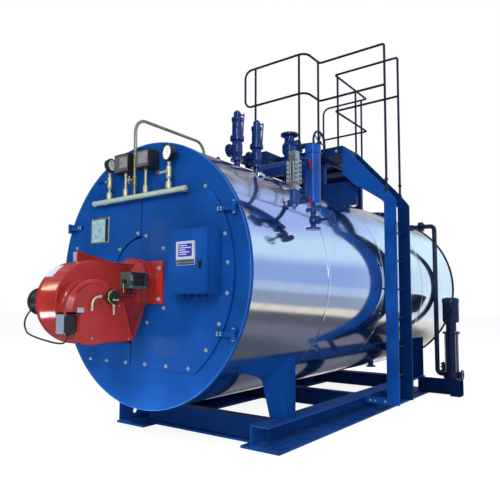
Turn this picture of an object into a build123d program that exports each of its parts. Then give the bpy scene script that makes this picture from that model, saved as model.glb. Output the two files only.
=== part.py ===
from build123d import *
from math import cos, pi, radians, sin, tan
import os

os.makedirs("parts", exist_ok=True)

# Lengths in millimetres. Z up, front doors towards -Y, origin on the floor under the skid's middle.
# Shell and ends
axis_height = 1360
shell_radius = 1042
shell_wall = 75
shell_length = 4880
end_plate = 30
front_rim = 1050
rear_rim = 1054
front_overhang = 530
skid_length = 3700

front_y = -(front_overhang + skid_length / 2)
rear_y = front_y + shell_length
shell_top = axis_height + shell_radius
shell_bore = shell_radius - shell_wall

# Doors
door_radius = 921
door_top = 1945
door_bottom = 636
opening_radius = 850
opening_inset = 45
door_plate = 16
door_stand_off = 5
lining_depth = 85
lining_gap = 20
seam_gap = 13
seam_radius = 330
seam_rise = 35
seam_step = 828
seam_top_x = -15
seam_bottom_x = -113
hinge_x = 932
hinge_forward = 42
hinge_rise = 435
hinge_pin = 8
hinge_radius = 15
hinge_height = 34
strap_end = 770
strap_thick = 16
pin_clearance = 0.4
seat_clearance = 0.3
door_face_y = front_y - door_stand_off - door_plate

# Inside
burner_height = 1290
furnace_radius = 425
furnace_wall = 14
furnace_length = 3300
tube_plate_depth = 380
tube_plate_thick = 25
tube_radius = 40
tube_wall = 5
tube_circle = 700
tube_count = 12
rear_box_depth = 500

# Burner
mount_half = 250
mount_low = 1128
mount_high = 1453
mount_thick = 20
blast_radius = 140
blast_wall = 8
blast_reach = 330
throat_radius = 187
throat_reach = 119
volute_radius = 289.6
volute_forward = 551
volute_height = 1139
volute_left = -250
volute_right = 100
volute_round = 168
body_left = -200
intake_right = 220
intake_radius = 222
intake_forward = 605
intake_height = 1075
motor_left = -400
motor_forward = 650
motor_height = 1145
motor_radius = 93

# Control cabinet
cabinet_left = 444
cabinet_right = 813
cabinet_low = 1200
cabinet_high = 1650
cabinet_depth = 136
cabinet_wall = 12
cabinet_gap = 5
cabinet_door_thick = 18
cabinet_pin = 4

# Gauge header
header_rise = 30
header_radius = 20
header_forward = 70
header_left = -560
header_right = 508
riser_radius = 9
siphon_x = -50
siphon_rear_x = -100
siphon_radius = 13
siphon_rise = 641
siphon_back = 812
siphon_bend = 115
lever_pin = 5

# Steam valve and safety valves
steam_back = 2167
steam_rise = 503
steam_half = 175
steam_flange = 100
steam_reach = 385
steam_wheel = 135
steam_spindle = 9
safety_front_back = 1189
safety_rear_back = 1520
safety_rise = 648
safety_outlet_rise = 262

# Water column
column_x = 1110
column_back = 741
column_radius = 59
column_low = 1916
column_high = 2316
gauge_back = 455
drain_half = 75
drain_flange = 59
drain_reach = 161
drain_wheel = 59
drain_spindle = 5

# Platform and ladder
deck_top = 2875
deck_depth = 90
deck_left = -570
deck_right = 330
deck_front_back = 1987
deck_rear_back = 3624
notch_left = -200
notch_rear_back = 2296
landing_right = 596
ladder_front_back = 2319
ladder_rear_back = 2706
stringer_thick = 18
stringer_inner = 1060
stringer_width = 127
stringer_knee = 2195
ladder_foot = 124
rung_first = 400
rung_pitch = 296.5
rung_count = 6
rung_radius = 10
rail_radius = 12.5
rail_top = 3892
rail_drop = 446
rail_bend = 90
rail_corner = 25
rear_rail_end = -333

# Skid
rail_height = 192
rail_web = 655
rail_flange = 173
web_thick = 12
flange_thick = 14
pad_inner = 559
pad_outer = 926
pad_thick = 20
floor_bolt_x = 605
floor_bolt_inset = 160
floor_bolt_radius = 13

# Feed pump
pump_x = 1235
pump_back = 4010
pump_beam_end = 1345
feed_height = 2150
feed_radius = 29
feed_pipe_x = 1055

# Flue
flue_back = 4580
flue_radius = 190
flue_wall = 10
flue_top = 2480


def facing(y):
    """Sketch plane that faces the front at the given Y, X across and Z up."""
    return Plane(origin=(0, y, 0), x_dir=(1, 0, 0), z_dir=(0, -1, 0))


def sideways(x):
    """Sketch plane that faces +X at the given X, Y across and Z up."""
    return Plane(origin=(x, 0, 0), x_dir=(0, 1, 0), z_dir=(1, 0, 0))


def block(x, y, z, mode=Mode.ADD):
    """Box between two limits along each axis."""
    middle = [(low + high) / 2 for low, high in (x, y, z)]
    size = [abs(high - low) for low, high in (x, y, z)]
    with Locations(tuple(middle)):
        Box(*size, mode=mode)


def turned(origin, direction, outline):
    """Solid turned about an axis from (radius, distance) pairs."""
    along = Vector(*direction).normalized()
    side = Vector(0, 0, 1) if abs(along.Z) < 0.9 else Vector(1, 0, 0)
    radial = (side - along * side.dot(along)).normalized()
    plane = Plane(origin=origin, x_dir=radial, z_dir=radial.cross(along))
    with BuildPart(mode=Mode.PRIVATE) as piece:
        with BuildSketch(plane):
            with BuildLine():
                Polyline(*outline, close=True)
            make_face()
        revolve(axis=Axis(origin, tuple(along)))
    return piece.part


def rod(start, end, radius):
    """Round bar from one point to another."""
    run = Vector(*end) - Vector(*start)
    return turned(start, tuple(run), [(0, 0), (radius, 0), (radius, run.length), (0, run.length)])


def prism(plane, points, depth):
    """Straight prism of a polygon drawn on a plane."""
    with BuildPart(mode=Mode.PRIVATE) as piece:
        with BuildSketch(plane):
            with BuildLine():
                Polyline(*points, close=True)
            make_face()
        extrude(amount=depth)
    return piece.part


def pipe(points, radius, bend):
    """Round bar along straight runs with rounded corners."""
    with BuildPart(mode=Mode.PRIVATE) as piece:
        with BuildLine() as path:
            FilletPolyline(*points, radius=bend)
        with BuildSketch(path.line ^ 0):
            Circle(radius)
        sweep(path=path.line)
    return piece.part


def globe_valve(centre, half, flange, neck, body, thick, reach, spindle):
    """Globe valve standing on Z, its spindle out along +X as far as a handwheel."""
    profile = [
        (0, -half), (flange, -half), (flange, -half + thick), (neck, -half + thick),
        (neck, -body), (body, -body * 0.45), (body, body * 0.45), (neck, body),
        (neck, half - thick), (flange, half - thick), (flange, half), (0, half),
    ]
    stem = [
        (0, 0), (body * 0.75, 0), (body * 0.75, body * 1.2), (body, body * 1.2),
        (body, body * 1.2 + thick), (body * 0.4, body * 1.2 + thick),
        (body * 0.3, reach * 0.72), (spindle, reach * 0.72), (spindle, reach - thick),
        (spindle * 1.6, reach - thick), (spindle * 1.6, reach - 15), (spindle, reach - 15),
        (spindle, reach + 16), (spindle * 1.7, reach + 16), (spindle * 1.7, reach + 26),
        (0, reach + 26),
    ]
    return turned(centre, (0, 0, 1), profile) + turned(centre, (1, 0, 0), stem)


def handwheel(centre, radius, rim, hub, bore, spokes):
    """Handwheel about an axis along X, its hub 30 mm long and bored for the spindle."""
    x, y, z = centre
    wheel = turned(centre, (1, 0, 0), [(bore, -14.5), (hub, -14.5), (hub, 14.5), (bore, 14.5)])
    ring = []
    for step in range(10):
        angle = radians(36 * step)
        ring.append((radius - rim + rim * cos(angle), rim * sin(angle)))
    wheel = wheel + turned(centre, (1, 0, 0), ring)
    for number in range(spokes):
        angle = radians(360 / spokes * number + 18)
        start = (x, y + (hub - 2) * sin(angle), z + (hub - 2) * cos(angle))
        end = (x, y + (radius - rim) * sin(angle), z + (radius - rim) * cos(angle))
        wheel = wheel + rod(start, end, rim * 0.7)
    return wheel


def hinge_lugs(x, y, z, pin, radius, height, back):
    """Two fixed lugs with the pin between them, reaching back to a face."""
    lower = z - height / 2 - seat_clearance
    upper = z + height / 2 + 1
    with BuildPart(mode=Mode.PRIVATE) as lugs:
        for low in (lower - height * 0.6, upper):
            with Locations((x, y, low + height * 0.3)):
                Cylinder(radius, height * 0.6)
            block((x - radius * 0.7, x + radius * 0.7), (y, back), (low, low + height * 0.6))
        with Locations((x, y, z)):
            Cylinder(pin, height * 1.9)
    return lugs.part


def hinge_strap(x, y, z, pin, radius, height, end_x, near, far):
    """Moving knuckle bored for the pin, with its strap out to one side."""
    with BuildPart(mode=Mode.PRIVATE) as strap:
        with Locations((x, y, z)):
            Cylinder(radius, height)
        block((min(x, end_x), max(x, end_x)), (near, far), (z - height / 2, z + height / 2))
        with Locations((x, y, z)):
            Cylinder(pin + pin_clearance, height * 2, mode=Mode.SUBTRACT)
    return strap.part


def seam_side(reach, sides=0):
    """Everything on the right of the seam between the leaves, drawn back by reach.

    The seam bulges round the burner on the left leaf's side. With sides given, the bulge is
    drawn with that many straight cuts round a full turn in place of an arc.
    """
    seam_centre = burner_height + seam_rise
    bulge = seam_radius - reach
    corners = [
        (seam_top_x + reach, 2600), (seam_top_x + reach, seam_centre), (-bulge, seam_centre),
        (-bulge, seam_step + reach), (seam_bottom_x + reach, seam_step + reach),
        (seam_bottom_x + reach, 0), (1500, 0), (1500, 2600),
    ]
    half_step = 180 / sides if sides else 0
    around = RegularPolygon(bulge, sides, False, half_step) if sides else Circle(bulge)
    return Polygon(*corners, align=None) + Pos(0, seam_centre) * around


def leaf_slab(right, radius, top, bottom, region, near, far):
    """One leaf's slab between two depths, its round edge cut straight at top and bottom."""
    with BuildPart(mode=Mode.PRIVATE) as slab:
        with BuildSketch(facing(far)):
            with Locations((0, axis_height)):
                Circle(radius)
            with Locations((0, (top + bottom) / 2)):
                Rectangle(2 * radius, top - bottom, mode=Mode.INTERSECT)
            add(region, mode=Mode.INTERSECT if right else Mode.SUBTRACT)
        extrude(amount=far - near)
    return slab.part


def back(depth):
    """Y of a point that lies this far behind the front plate's face."""
    return front_y + depth


# Round space that the shell fills, for pieces that stand on it
shell_space = rod((0, back(-50), axis_height), (0, rear_y + 50, axis_height), shell_radius)
header_y = back(-header_forward)
header_height = door_top + header_rise
header_space = rod((header_left, header_y, header_height), (header_right, header_y, header_height), header_radius)

# Skid rails with their floor pads and lifting holes
with BuildPart() as skid_rails:
    rail_y = (back(front_overhang), back(front_overhang) + skid_length)
    for web_x, pad_x in (
        (rail_web, (pad_inner, pad_outer)),
        (-rail_web - rail_flange - 70, (-pad_outer, -pad_inner)),
    ):
        block(pad_x, rail_y, (0, pad_thick))
        block((web_x, web_x + web_thick), rail_y, (pad_thick, rail_height))
        block((web_x, web_x + rail_flange), rail_y, (pad_thick, pad_thick + flange_thick))
        block((web_x, web_x + rail_flange), rail_y, (rail_height - flange_thick, rail_height))
        for y in (rail_y[0] + 190, rail_y[1] - 190):
            with Locations(Location((web_x, y, 90), (0, 90, 0))):
                Cylinder(30, 60, mode=Mode.SUBTRACT)
    for x in (-floor_bolt_x, floor_bolt_x):
        for y in (rail_y[0] + floor_bolt_inset, rail_y[1] - floor_bolt_inset):
            with Locations((x, y, pad_thick / 2)):
                Cylinder(floor_bolt_radius, pad_thick * 2, mode=Mode.SUBTRACT)
skid_rails.part.label = "skid_rails"
export_step(skid_rails.part, "parts/skid_rails.step")

# Cross beams between the rails
beam_left = -rail_web - 70
with BuildPart() as cross_beams:
    for near, far in ((752, 852), (2330, 2430), (3950, 4110)):
        y = (back(near), back(far))
        block((beam_left, rail_web), (y[0], y[0] + web_thick), (pad_thick, rail_height))
        block((beam_left, rail_web), y, (pad_thick, pad_thick + flange_thick))
        block((beam_left, rail_web), y, (rail_height - flange_thick, rail_height))
    block((-pad_inner, pad_inner), (back(693), back(790)), (0, pad_thick))
cross_beams.part.label = "cross_beams"
export_step(cross_beams.part, "parts/cross_beams.step")

# Beam out to the side under the feed pump
with BuildPart() as pump_beam:
    block((rail_web + rail_flange, pump_beam_end), (back(3930), back(4090)), (pad_thick, rail_height))
    block((rail_web + rail_flange + 20, pump_beam_end + 1), (back(3945), back(4075)), (35, 178), Mode.SUBTRACT)
    block((pump_beam_end - 120, pump_beam_end), (back(3930), back(4090)), (0, pad_thick))
pump_beam.part.label = "pump_beam"
export_step(pump_beam.part, "parts/pump_beam.step")

# Saddle legs between the skid and the shell
with BuildPart() as saddle_legs:
    leg = [(658, rail_height), (807, rail_height), (807, 800), (577, 800), (577, 493)]
    for near, far in ((800, 960), (3780, 4225)):
        for side in (1, -1):
            shape = [(side * x, z) for x, z in leg]
            add(prism(facing(back(far)), shape, far - near))
    add(shell_space, mode=Mode.SUBTRACT)
saddle_legs.part.label = "saddle_legs"
export_step(saddle_legs.part, "parts/saddle_legs.step")

# Shell with its lagging and jacket, open at both ends
with BuildPart() as shell_jacket:
    add(turned((0, back(end_plate), axis_height), (0, 1, 0), [
        (shell_bore, 0), (shell_radius, 0),
        (shell_radius, shell_length - 2 * end_plate),
        (shell_bore, shell_length - 2 * end_plate),
    ]))
    with Locations((0, back(flue_back), shell_top - 200)):
        Cylinder(flue_radius, 500, mode=Mode.SUBTRACT)
shell_jacket.part.label = "shell_jacket"
export_step(shell_jacket.part, "parts/shell_jacket.step")

# Front ring with the opening behind the doors and the fixed hinge lugs
hinge_y = back(-hinge_forward)
door_middle = (door_top + door_bottom) / 2
opening_band = Rectangle(2 * front_rim, door_top - door_bottom - 2 * opening_inset)
opening_shape = Pos(0, axis_height) * Circle(opening_radius) & Pos(0, door_middle) * opening_band
with BuildPart() as front_ring:
    with BuildSketch(facing(back(end_plate))):
        with Locations((0, axis_height)):
            Circle(front_rim)
        add(opening_shape, mode=Mode.SUBTRACT)
    extrude(amount=end_plate)
    for side in (-1, 1):
        for rise in (-hinge_rise, hinge_rise):
            add(hinge_lugs(side * hinge_x, hinge_y, axis_height + rise,
                           hinge_pin, hinge_radius, hinge_height, back(0)))
front_ring.part.label = "front_ring"
export_step(front_ring.part, "parts/front_ring.step")

# Front tube plate inside the shell
tube_spots = []
for number in range(tube_count):
    angle = radians(360 / tube_count * (number + 0.5))
    tube_spots.append((tube_circle * sin(angle), axis_height + tube_circle * cos(angle)))
tube_plate_y = back(tube_plate_depth)
rear_plate_y = rear_y - rear_box_depth
with BuildPart() as front_tube_plate:
    with BuildSketch(facing(tube_plate_y + tube_plate_thick)):
        with Locations((0, axis_height)):
            Circle(shell_bore)
        with Locations((0, burner_height)):
            Circle(furnace_radius, mode=Mode.SUBTRACT)
        with Locations(*tube_spots):
            Circle(tube_radius, mode=Mode.SUBTRACT)
    extrude(amount=tube_plate_thick)
front_tube_plate.part.label = "front_tube_plate"
export_step(front_tube_plate.part, "parts/front_tube_plate.step")

# Furnace tube, closed at its far end
with BuildPart() as furnace_tube:
    add(turned((0, tube_plate_y, burner_height), (0, 1, 0), [
        (furnace_radius, 0), (furnace_radius, furnace_length), (0, furnace_length),
        (0, furnace_length - furnace_wall), (furnace_radius - furnace_wall, furnace_length - furnace_wall),
        (furnace_radius - furnace_wall, 0),
    ]))
furnace_tube.part.label = "furnace_tube"
export_step(furnace_tube.part, "parts/furnace_tube.step")

# Smoke tubes between the two tube plates
with BuildPart() as smoke_tubes:
    for x, z in tube_spots:
        add(turned((x, tube_plate_y, z), (0, 1, 0), [
            (tube_radius - tube_wall, 0), (tube_radius, 0),
            (tube_radius, rear_plate_y - tube_plate_y), (tube_radius - tube_wall, rear_plate_y - tube_plate_y),
        ]))
smoke_tubes.part.label = "smoke_tubes"
export_step(smoke_tubes.part, "parts/smoke_tubes.step")

# Rear tube plate
with BuildPart() as rear_tube_plate:
    with BuildSketch(facing(rear_plate_y)):
        with Locations((0, axis_height)):
            Circle(shell_bore)
        with Locations(*tube_spots):
            Circle(tube_radius, mode=Mode.SUBTRACT)
    extrude(amount=tube_plate_thick)
rear_tube_plate.part.label = "rear_tube_plate"
export_step(rear_tube_plate.part, "parts/rear_tube_plate.step")

# Rear end plate with its bolted cover
with BuildPart() as rear_plate:
    add(turned((0, rear_y - end_plate, axis_height), (0, 1, 0), [
        (0, 0), (rear_rim, 0), (rear_rim, 18), (450, 18), (450, end_plate), (0, end_plate),
    ]))
rear_plate.part.label = "rear_plate"
export_step(rear_plate.part, "parts/rear_plate.step")

# Door leaves with their linings and hinge straps
plate_back = back(-door_stand_off)
right_plate = seam_side(seam_gap / 2)
left_plate = seam_side(-seam_gap / 2, 16)
right_lining = seam_side(lining_gap * 0.75)
left_lining = seam_side(-lining_gap * 0.75, 16)
lining_top = door_top - opening_inset - lining_gap
lining_bottom = door_bottom + opening_inset + lining_gap
lining_radius = opening_radius - lining_gap
with BuildPart() as door_left:
    add(leaf_slab(False, door_radius, door_top, door_bottom, left_plate, door_face_y, plate_back))
    add(leaf_slab(False, lining_radius, lining_top, lining_bottom, left_lining,
                  plate_back, back(lining_depth)))
    for rise in (-hinge_rise, hinge_rise):
        add(hinge_strap(-hinge_x, hinge_y, axis_height + rise, hinge_pin, hinge_radius,
                        hinge_height, -strap_end, door_face_y - strap_thick, door_face_y))
door_left.part.label = "door_left"
export_step(door_left.part, "parts/door_left.step")

with BuildPart() as door_right:
    add(leaf_slab(True, door_radius, door_top, door_bottom, right_plate, door_face_y, plate_back))
    add(leaf_slab(True, lining_radius, lining_top, lining_bottom, right_lining,
                  plate_back, back(lining_depth)))
    for rise in (-hinge_rise, hinge_rise):
        add(hinge_strap(hinge_x, hinge_y, axis_height + rise, hinge_pin, hinge_radius,
                        hinge_height, strap_end, door_face_y - strap_thick, door_face_y))
    with Locations(Location((0, front_y, burner_height), (90, 0, 0))):
        Cylinder(blast_radius + 5, 400, mode=Mode.SUBTRACT)
door_right.part.label = "door_right"
export_step(door_right.part, "parts/door_right.step")

# Bare plate on the left leaf
with BuildPart() as name_plate:
    block((-652, -413), (door_face_y - 3, door_face_y), (1640, 1858))
name_plate.part.label = "name_plate"
export_step(name_plate.part, "parts/name_plate.step")

# Burner mounting plate with the blast tube through the leaf
mount_y = door_face_y - mount_thick
with BuildPart() as burner_flange:
    block((-mount_half, mount_half), (mount_y, door_face_y), (mount_low, mount_high))
    add(turned((0, door_face_y, burner_height), (0, 1, 0), [
        (blast_radius - blast_wall, 0), (blast_radius, 0),
        (blast_radius, blast_reach), (blast_radius - blast_wall, blast_reach),
    ]))
burner_flange.part.label = "burner_flange"
export_step(burner_flange.part, "parts/burner_flange.step")

# Burner housing: fan volute rounded on its motor side, body back to the throat, and damper fin
volute_y = back(-volute_forward)
volute_base = volute_height - volute_radius
volute_crown = volute_height + volute_radius
with BuildPart() as burner_housing:
    with Locations(Location(((volute_left + volute_right) / 2, volute_y, volute_height), (0, 90, 0))):
        Cylinder(volute_radius, volute_right - volute_left)
    rims = burner_housing.edges().filter_by(GeomType.CIRCLE).sort_by(Axis.X)
    fillet(rims[0], radius=volute_round)
    rims = burner_housing.edges().filter_by(GeomType.CIRCLE).sort_by(Axis.X)
    fillet(rims[-1], radius=10)
    body_side = [
        (back(-77), 1095), (back(-77), 1416), (volute_y, volute_crown - 2),
        (volute_y, volute_base + 2), (back(-192), volute_base + 4),
    ]
    add(prism(sideways(body_left), body_side, volute_right - body_left))
    add(turned((0, mount_y, burner_height), (0, -1, 0), [
        (0, 0), (throat_radius, 0), (throat_radius, throat_reach - 14), (throat_radius - 8, throat_reach),
        (throat_radius - 50, throat_reach + 60), (0, throat_reach + 60),
    ]))
    fin_side = [(back(-528), 1395), (back(-528), 1508), (back(-240), 1457), (back(-240), 1395)]
    add(prism(sideways(-175), fin_side, 55))
burner_housing.part.label = "burner_housing"
export_step(burner_housing.part, "parts/burner_housing.step")

# Air intake on the volute's side: drum and outlet box, cut round the terminal box
intake_y = back(-intake_forward)
with BuildPart() as burner_intake:
    add(turned((volute_right, intake_y, intake_height), (1, 0, 0), [
        (0, 0), (intake_radius, 0), (intake_radius, 90), (intake_radius - 30, intake_right - volute_right),
        (0, intake_right - volute_right),
    ]))
    box_side = [
        (intake_y - 53, 865), (back(-298), 872), (back(-387), intake_height + 66),
        (intake_y - 53, intake_height + 66),
    ]
    add(prism(sideways(volute_right), box_side, intake_right - volute_right))
    block((volute_right - 1, intake_right + 1), (back(-900), back(-733)), (800, intake_height), Mode.SUBTRACT)
burner_intake.part.label = "burner_intake"
export_step(burner_intake.part, "parts/burner_intake.step")

# Route of the motor cable, from its gland on the motor to the gland on the terminal box
cable_radius = 6
gland_radius = 10
cable_points = [
    (-336, back(-735), 1097), (-352, back(-768), 1050), (-366, back(-778), 992),
    (-316, back(-790), 932), (-239, back(-795), 908), (-35, back(-800), 879),
    (100, back(-798), 868), (160, back(-794), 880), (166, back(-786), 922),
]


def gland(end, following, depth):
    """Cable gland that ends at the cable's end and reaches back into its housing."""
    inward = (Vector(*end) - Vector(*following)).normalized()
    return rod(end, tuple(Vector(*end) + inward * depth), gland_radius)


# Fan motor, let into the volute's rounded side
motor_y = back(-motor_forward)
with BuildPart() as burner_motor:
    add(turned((volute_left + 120, motor_y, motor_height), (-1, 0, 0), [
        (0, 0), (motor_radius, 0), (motor_radius, volute_left + 105 - motor_left),
        (motor_radius - 15, volute_left + 120 - motor_left), (0, volute_left + 120 - motor_left),
    ]))
    add(burner_housing.part, mode=Mode.SUBTRACT)
    add(gland(cable_points[0], cable_points[1], 30))
burner_motor.part.label = "burner_motor"
export_step(burner_motor.part, "parts/burner_motor.step")

# Burner's terminal box, damper servo and air switch
with BuildPart() as burner_box:
    block((volute_right, volute_right + 87), (back(-828), back(-735)), (932, 1063))
    add(gland(cable_points[-1], cable_points[-2], 30))
    add(burner_housing.part, mode=Mode.SUBTRACT)
burner_box.part.label = "burner_box"
export_step(burner_box.part, "parts/burner_box.step")

with BuildPart() as burner_servo:
    block((volute_right, 213), (back(-319), back(-172)), (1240, 1358))
    add(rod((166, back(-318), 1284), (166, back(-331), 1284), 34))
    add(burner_housing.part, mode=Mode.SUBTRACT)
burner_servo.part.label = "burner_servo"
export_step(burner_servo.part, "parts/burner_servo.step")

with BuildPart() as burner_air_switch:
    add(turned((intake_right, back(-490), 1175), (1, 0, 0), [
        (0, 0), (40, 0), (40, 8), (53, 8), (53, 22), (47, 22), (47, 36), (40, 45), (0, 45),
    ]))
burner_air_switch.part.label = "burner_air_switch"
export_step(burner_air_switch.part, "parts/burner_air_switch.step")

# Control cabinet, open at the front behind its door
cabinet_front = door_face_y - cabinet_depth
cabinet_hinge_x = cabinet_left - 12
cabinet_door_y = cabinet_front - cabinet_gap
cabinet_hinge_y = cabinet_door_y - cabinet_door_thick / 2
with BuildPart() as cabinet_box:
    block((cabinet_left, cabinet_right), (cabinet_front, door_face_y), (cabinet_low, cabinet_high))
    block((cabinet_left + cabinet_wall, cabinet_right - cabinet_wall),
          (cabinet_front - 1, door_face_y - cabinet_wall),
          (cabinet_low + cabinet_wall, cabinet_high - cabinet_wall), Mode.SUBTRACT)
    for z in (cabinet_low + 80, cabinet_high - 80):
        add(hinge_lugs(cabinet_hinge_x, cabinet_hinge_y, z, cabinet_pin, 8, 30, cabinet_front + 20))
        block((cabinet_hinge_x - 5.6, cabinet_left), (cabinet_front, cabinet_front + 20), (z - 33.3, z + 34))
cabinet_box.part.label = "cabinet_box"
export_step(cabinet_box.part, "parts/cabinet_box.step")

with BuildPart() as cabinet_door:
    block((cabinet_left, cabinet_right), (cabinet_door_y - cabinet_door_thick, cabinet_door_y),
          (cabinet_low, cabinet_high))
    for z in (cabinet_low + 80, cabinet_high - 80):
        add(hinge_strap(cabinet_hinge_x, cabinet_hinge_y, z, cabinet_pin, 8, 30,
                        cabinet_left + 6, cabinet_hinge_y - 4, cabinet_hinge_y + 4))
cabinet_door.part.label = "cabinet_door"
export_step(cabinet_door.part, "parts/cabinet_door.step")

# Display and key strip on the cabinet door
cabinet_face = cabinet_door_y - cabinet_door_thick
with BuildPart() as cabinet_display:
    block((535, 708), (cabinet_face - 10, cabinet_face), (1437, 1563))
    block((535, 708), (cabinet_face - 6, cabinet_face), (1396, 1437))
    block((557, 686), (cabinet_face - 11, cabinet_face - 7), (1456, 1546), Mode.SUBTRACT)
cabinet_display.part.label = "cabinet_display"
export_step(cabinet_display.part, "parts/cabinet_display.step")

with BuildPart() as cabinet_handle:
    block((744, 768), (cabinet_face - 6, cabinet_face), (1372, 1428))
    block((750, 762), (cabinet_face - 18, cabinet_face - 6), (1380, 1416))
cabinet_handle.part.label = "cabinet_handle"
export_step(cabinet_handle.part, "parts/cabinet_handle.step")

# Gauge header across the front, on two brackets
with BuildPart() as gauge_header:
    add(header_space)
    for x in (-500, 440):
        block((x - 12, x + 12), (header_y, back(0)), (header_height - 8, header_height + 8))
gauge_header.part.label = "gauge_header"
export_step(gauge_header.part, "parts/gauge_header.step")

# Risers from the header to the gauges and switches, with their small valves
left_gauge_x = -358
right_gauge_x = 331
left_switch_x = -156
right_switch_x = 78
lever_heights = {left_gauge_x: header_height + 155, right_gauge_x: header_height + 143}
gauge_foot = header_height + 222
switch_foot = header_height + 208
with BuildPart() as header_fittings:
    for x, top in ((left_gauge_x, gauge_foot), (left_switch_x, switch_foot),
                   (right_switch_x, switch_foot), (right_gauge_x, gauge_foot)):
        add(rod((x, header_y, header_height), (x, header_y, top), riser_radius))
        add(rod((x, header_y, header_height), (x, header_y, header_height + 32), 14))
    for x, lever_height in lever_heights.items():
        add(rod((x, header_y, lever_height - 32), (x, header_y, lever_height + 32), 19))
        add(turned((x, header_y, lever_height), (0, -1, 0), [
            (0, 0), (11, 0), (11, 24), (lever_pin, 24), (lever_pin, 36), (9, 36), (9, 42), (0, 42),
        ]))
    add(header_space, mode=Mode.SUBTRACT)
header_fittings.part.label = "header_fittings"
export_step(header_fittings.part, "parts/header_fittings.step")


def quarter_lever(x, y, z, normal, up, length):
    """Flat lever about a spindle, 8 mm thick, its arm along the direction named up."""
    plane = Plane(origin=(x, y, z), x_dir=up, z_dir=normal)
    with BuildPart(mode=Mode.PRIVATE) as lever:
        with BuildSketch(plane):
            Circle(12)
            with Locations((length / 2, 0)):
                Rectangle(length, 14)
            with Locations((length, 0)):
                Circle(9)
            Circle(lever_pin + pin_clearance, mode=Mode.SUBTRACT)
        extrude(amount=8)
    return lever.part


lever_y = header_y - 26
with BuildPart() as gauge_lever_left:
    add(quarter_lever(left_gauge_x, lever_y, lever_heights[left_gauge_x], (0, -1, 0), (-1, 0, 0), 88))
gauge_lever_left.part.label = "gauge_lever_left"
export_step(gauge_lever_left.part, "parts/gauge_lever_left.step")

with BuildPart() as gauge_lever_right:
    add(quarter_lever(right_gauge_x, lever_y, lever_heights[right_gauge_x], (0, -1, 0), (-1, 0, 0), 88))
gauge_lever_right.part.label = "gauge_lever_right"
export_step(gauge_lever_right.part, "parts/gauge_lever_right.step")


def dial_gauge(x, z, turn, radius, depth):
    """Round gauge above its riser, its face turned from the front towards -X."""
    facing_x = -sin(radians(turn))
    facing_y = -cos(radians(turn))
    origin = (x - facing_x * depth / 2, header_y - facing_y * depth / 2, z)
    case = turned(origin, (facing_x, facing_y, 0), [
        (0, 0), (radius * 0.86, 0), (radius * 0.9, depth * 0.7), (radius, depth * 0.7),
        (radius, depth), (radius - 8, depth), (radius - 8, depth - 6), (0, depth - 6),
    ])
    return case + rod((x, header_y, gauge_foot), (x, header_y, z - radius * 0.8), 11)


with BuildPart() as gauge_left:
    add(dial_gauge(left_gauge_x, header_height + 303, -100, 55, 44))
gauge_left.part.label = "gauge_left"
export_step(gauge_left.part, "parts/gauge_left.step")

with BuildPart() as gauge_right:
    add(dial_gauge(right_gauge_x, header_height + 292, 10, 64, 50))
gauge_right.part.label = "gauge_right"
export_step(gauge_right.part, "parts/gauge_right.step")

# Two pressure switches
with BuildPart() as switch_left:
    block((-264, -95), (header_y - 32, header_y + 33), (switch_foot, switch_foot + 153))
switch_left.part.label = "switch_left"
export_step(switch_left.part, "parts/switch_left.step")

with BuildPart() as switch_right:
    block((10, 160), (header_y - 50, header_y + 55), (switch_foot, switch_foot + 140))
switch_right.part.label = "switch_right"
export_step(switch_right.part, "parts/switch_right.step")

# Siphon pipe from the header over the rim into the shell, with its needle valve
siphon_top = header_height + siphon_rise
needle_height = header_height + 125
with BuildPart() as siphon_pipe:
    add(pipe([
        (siphon_x, header_y, header_height), (siphon_x, header_y, siphon_top),
        (siphon_rear_x, back(siphon_back), siphon_top + 24),
        (siphon_rear_x, back(siphon_back), shell_top - 80),
    ], siphon_radius, siphon_bend))
    add(rod((siphon_x, header_y, needle_height - 30), (siphon_x, header_y, needle_height + 30), 19))
    add(rod((siphon_x, header_y, needle_height), (siphon_x, header_y - 62, needle_height), 8))
    add(rod((siphon_x, header_y - 52, needle_height), (siphon_x, header_y - 62, needle_height), 20))
    add(rod((siphon_rear_x, back(siphon_back), shell_top - 80),
            (siphon_rear_x, back(siphon_back), shell_top + 20), 22))
    add(header_space, mode=Mode.SUBTRACT)
    add(shell_space, mode=Mode.SUBTRACT)
siphon_pipe.part.label = "siphon_pipe"
export_step(siphon_pipe.part, "parts/siphon_pipe.step")


def safety_valve(y):
    """Spring-loaded safety valve on the shell's crown, its outlet towards -X, its lever on +X."""
    rise = safety_rise
    top = shell_top + rise
    middle = safety_outlet_rise
    body = turned((0, y, shell_top), (0, 0, 1), [
        (0, -60), (34, -60), (34, 44), (68, 44), (68, 64), (31, 64), (31, middle - 122), (64, middle - 122),
        (64, middle - 98), (44, middle - 82), (55, middle - 40), (55, middle + 30), (46, middle + 78),
        (70, middle + 86), (70, middle + 122), (52, middle + 122), (50, rise - 104), (57, rise - 104),
        (57, rise - 72), (36, rise - 72), (36, rise - 20), (22, rise), (0, rise),
    ])
    outlet = turned((0, y, shell_top + middle), (-1, 0, 0), [
        (0, 0), (38, 0), (38, 84), (66, 84), (66, 102), (28, 102), (28, 54), (0, 54),
    ])
    arm = rod((30, y, top - 48), (84, y, top - 62), 7) + rod((84, y, top - 54), (66, y, shell_top + middle + 104), 7)
    for side in (-1, 1):
        arm = arm + rod((34, y + side * 12, top - 48), (60, y + side * 12, top - 48), 5)
    bore = rod((-54, y, shell_top + middle), (-104, y, shell_top + middle), 28)
    return body + outlet - bore + arm


with BuildPart() as safety_valves:
    add(safety_valve(back(safety_front_back)))
    add(safety_valve(back(safety_rear_back)))
    add(shell_space, mode=Mode.SUBTRACT)
safety_valves.part.label = "safety_valves"
export_step(safety_valves.part, "parts/safety_valves.step")

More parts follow.
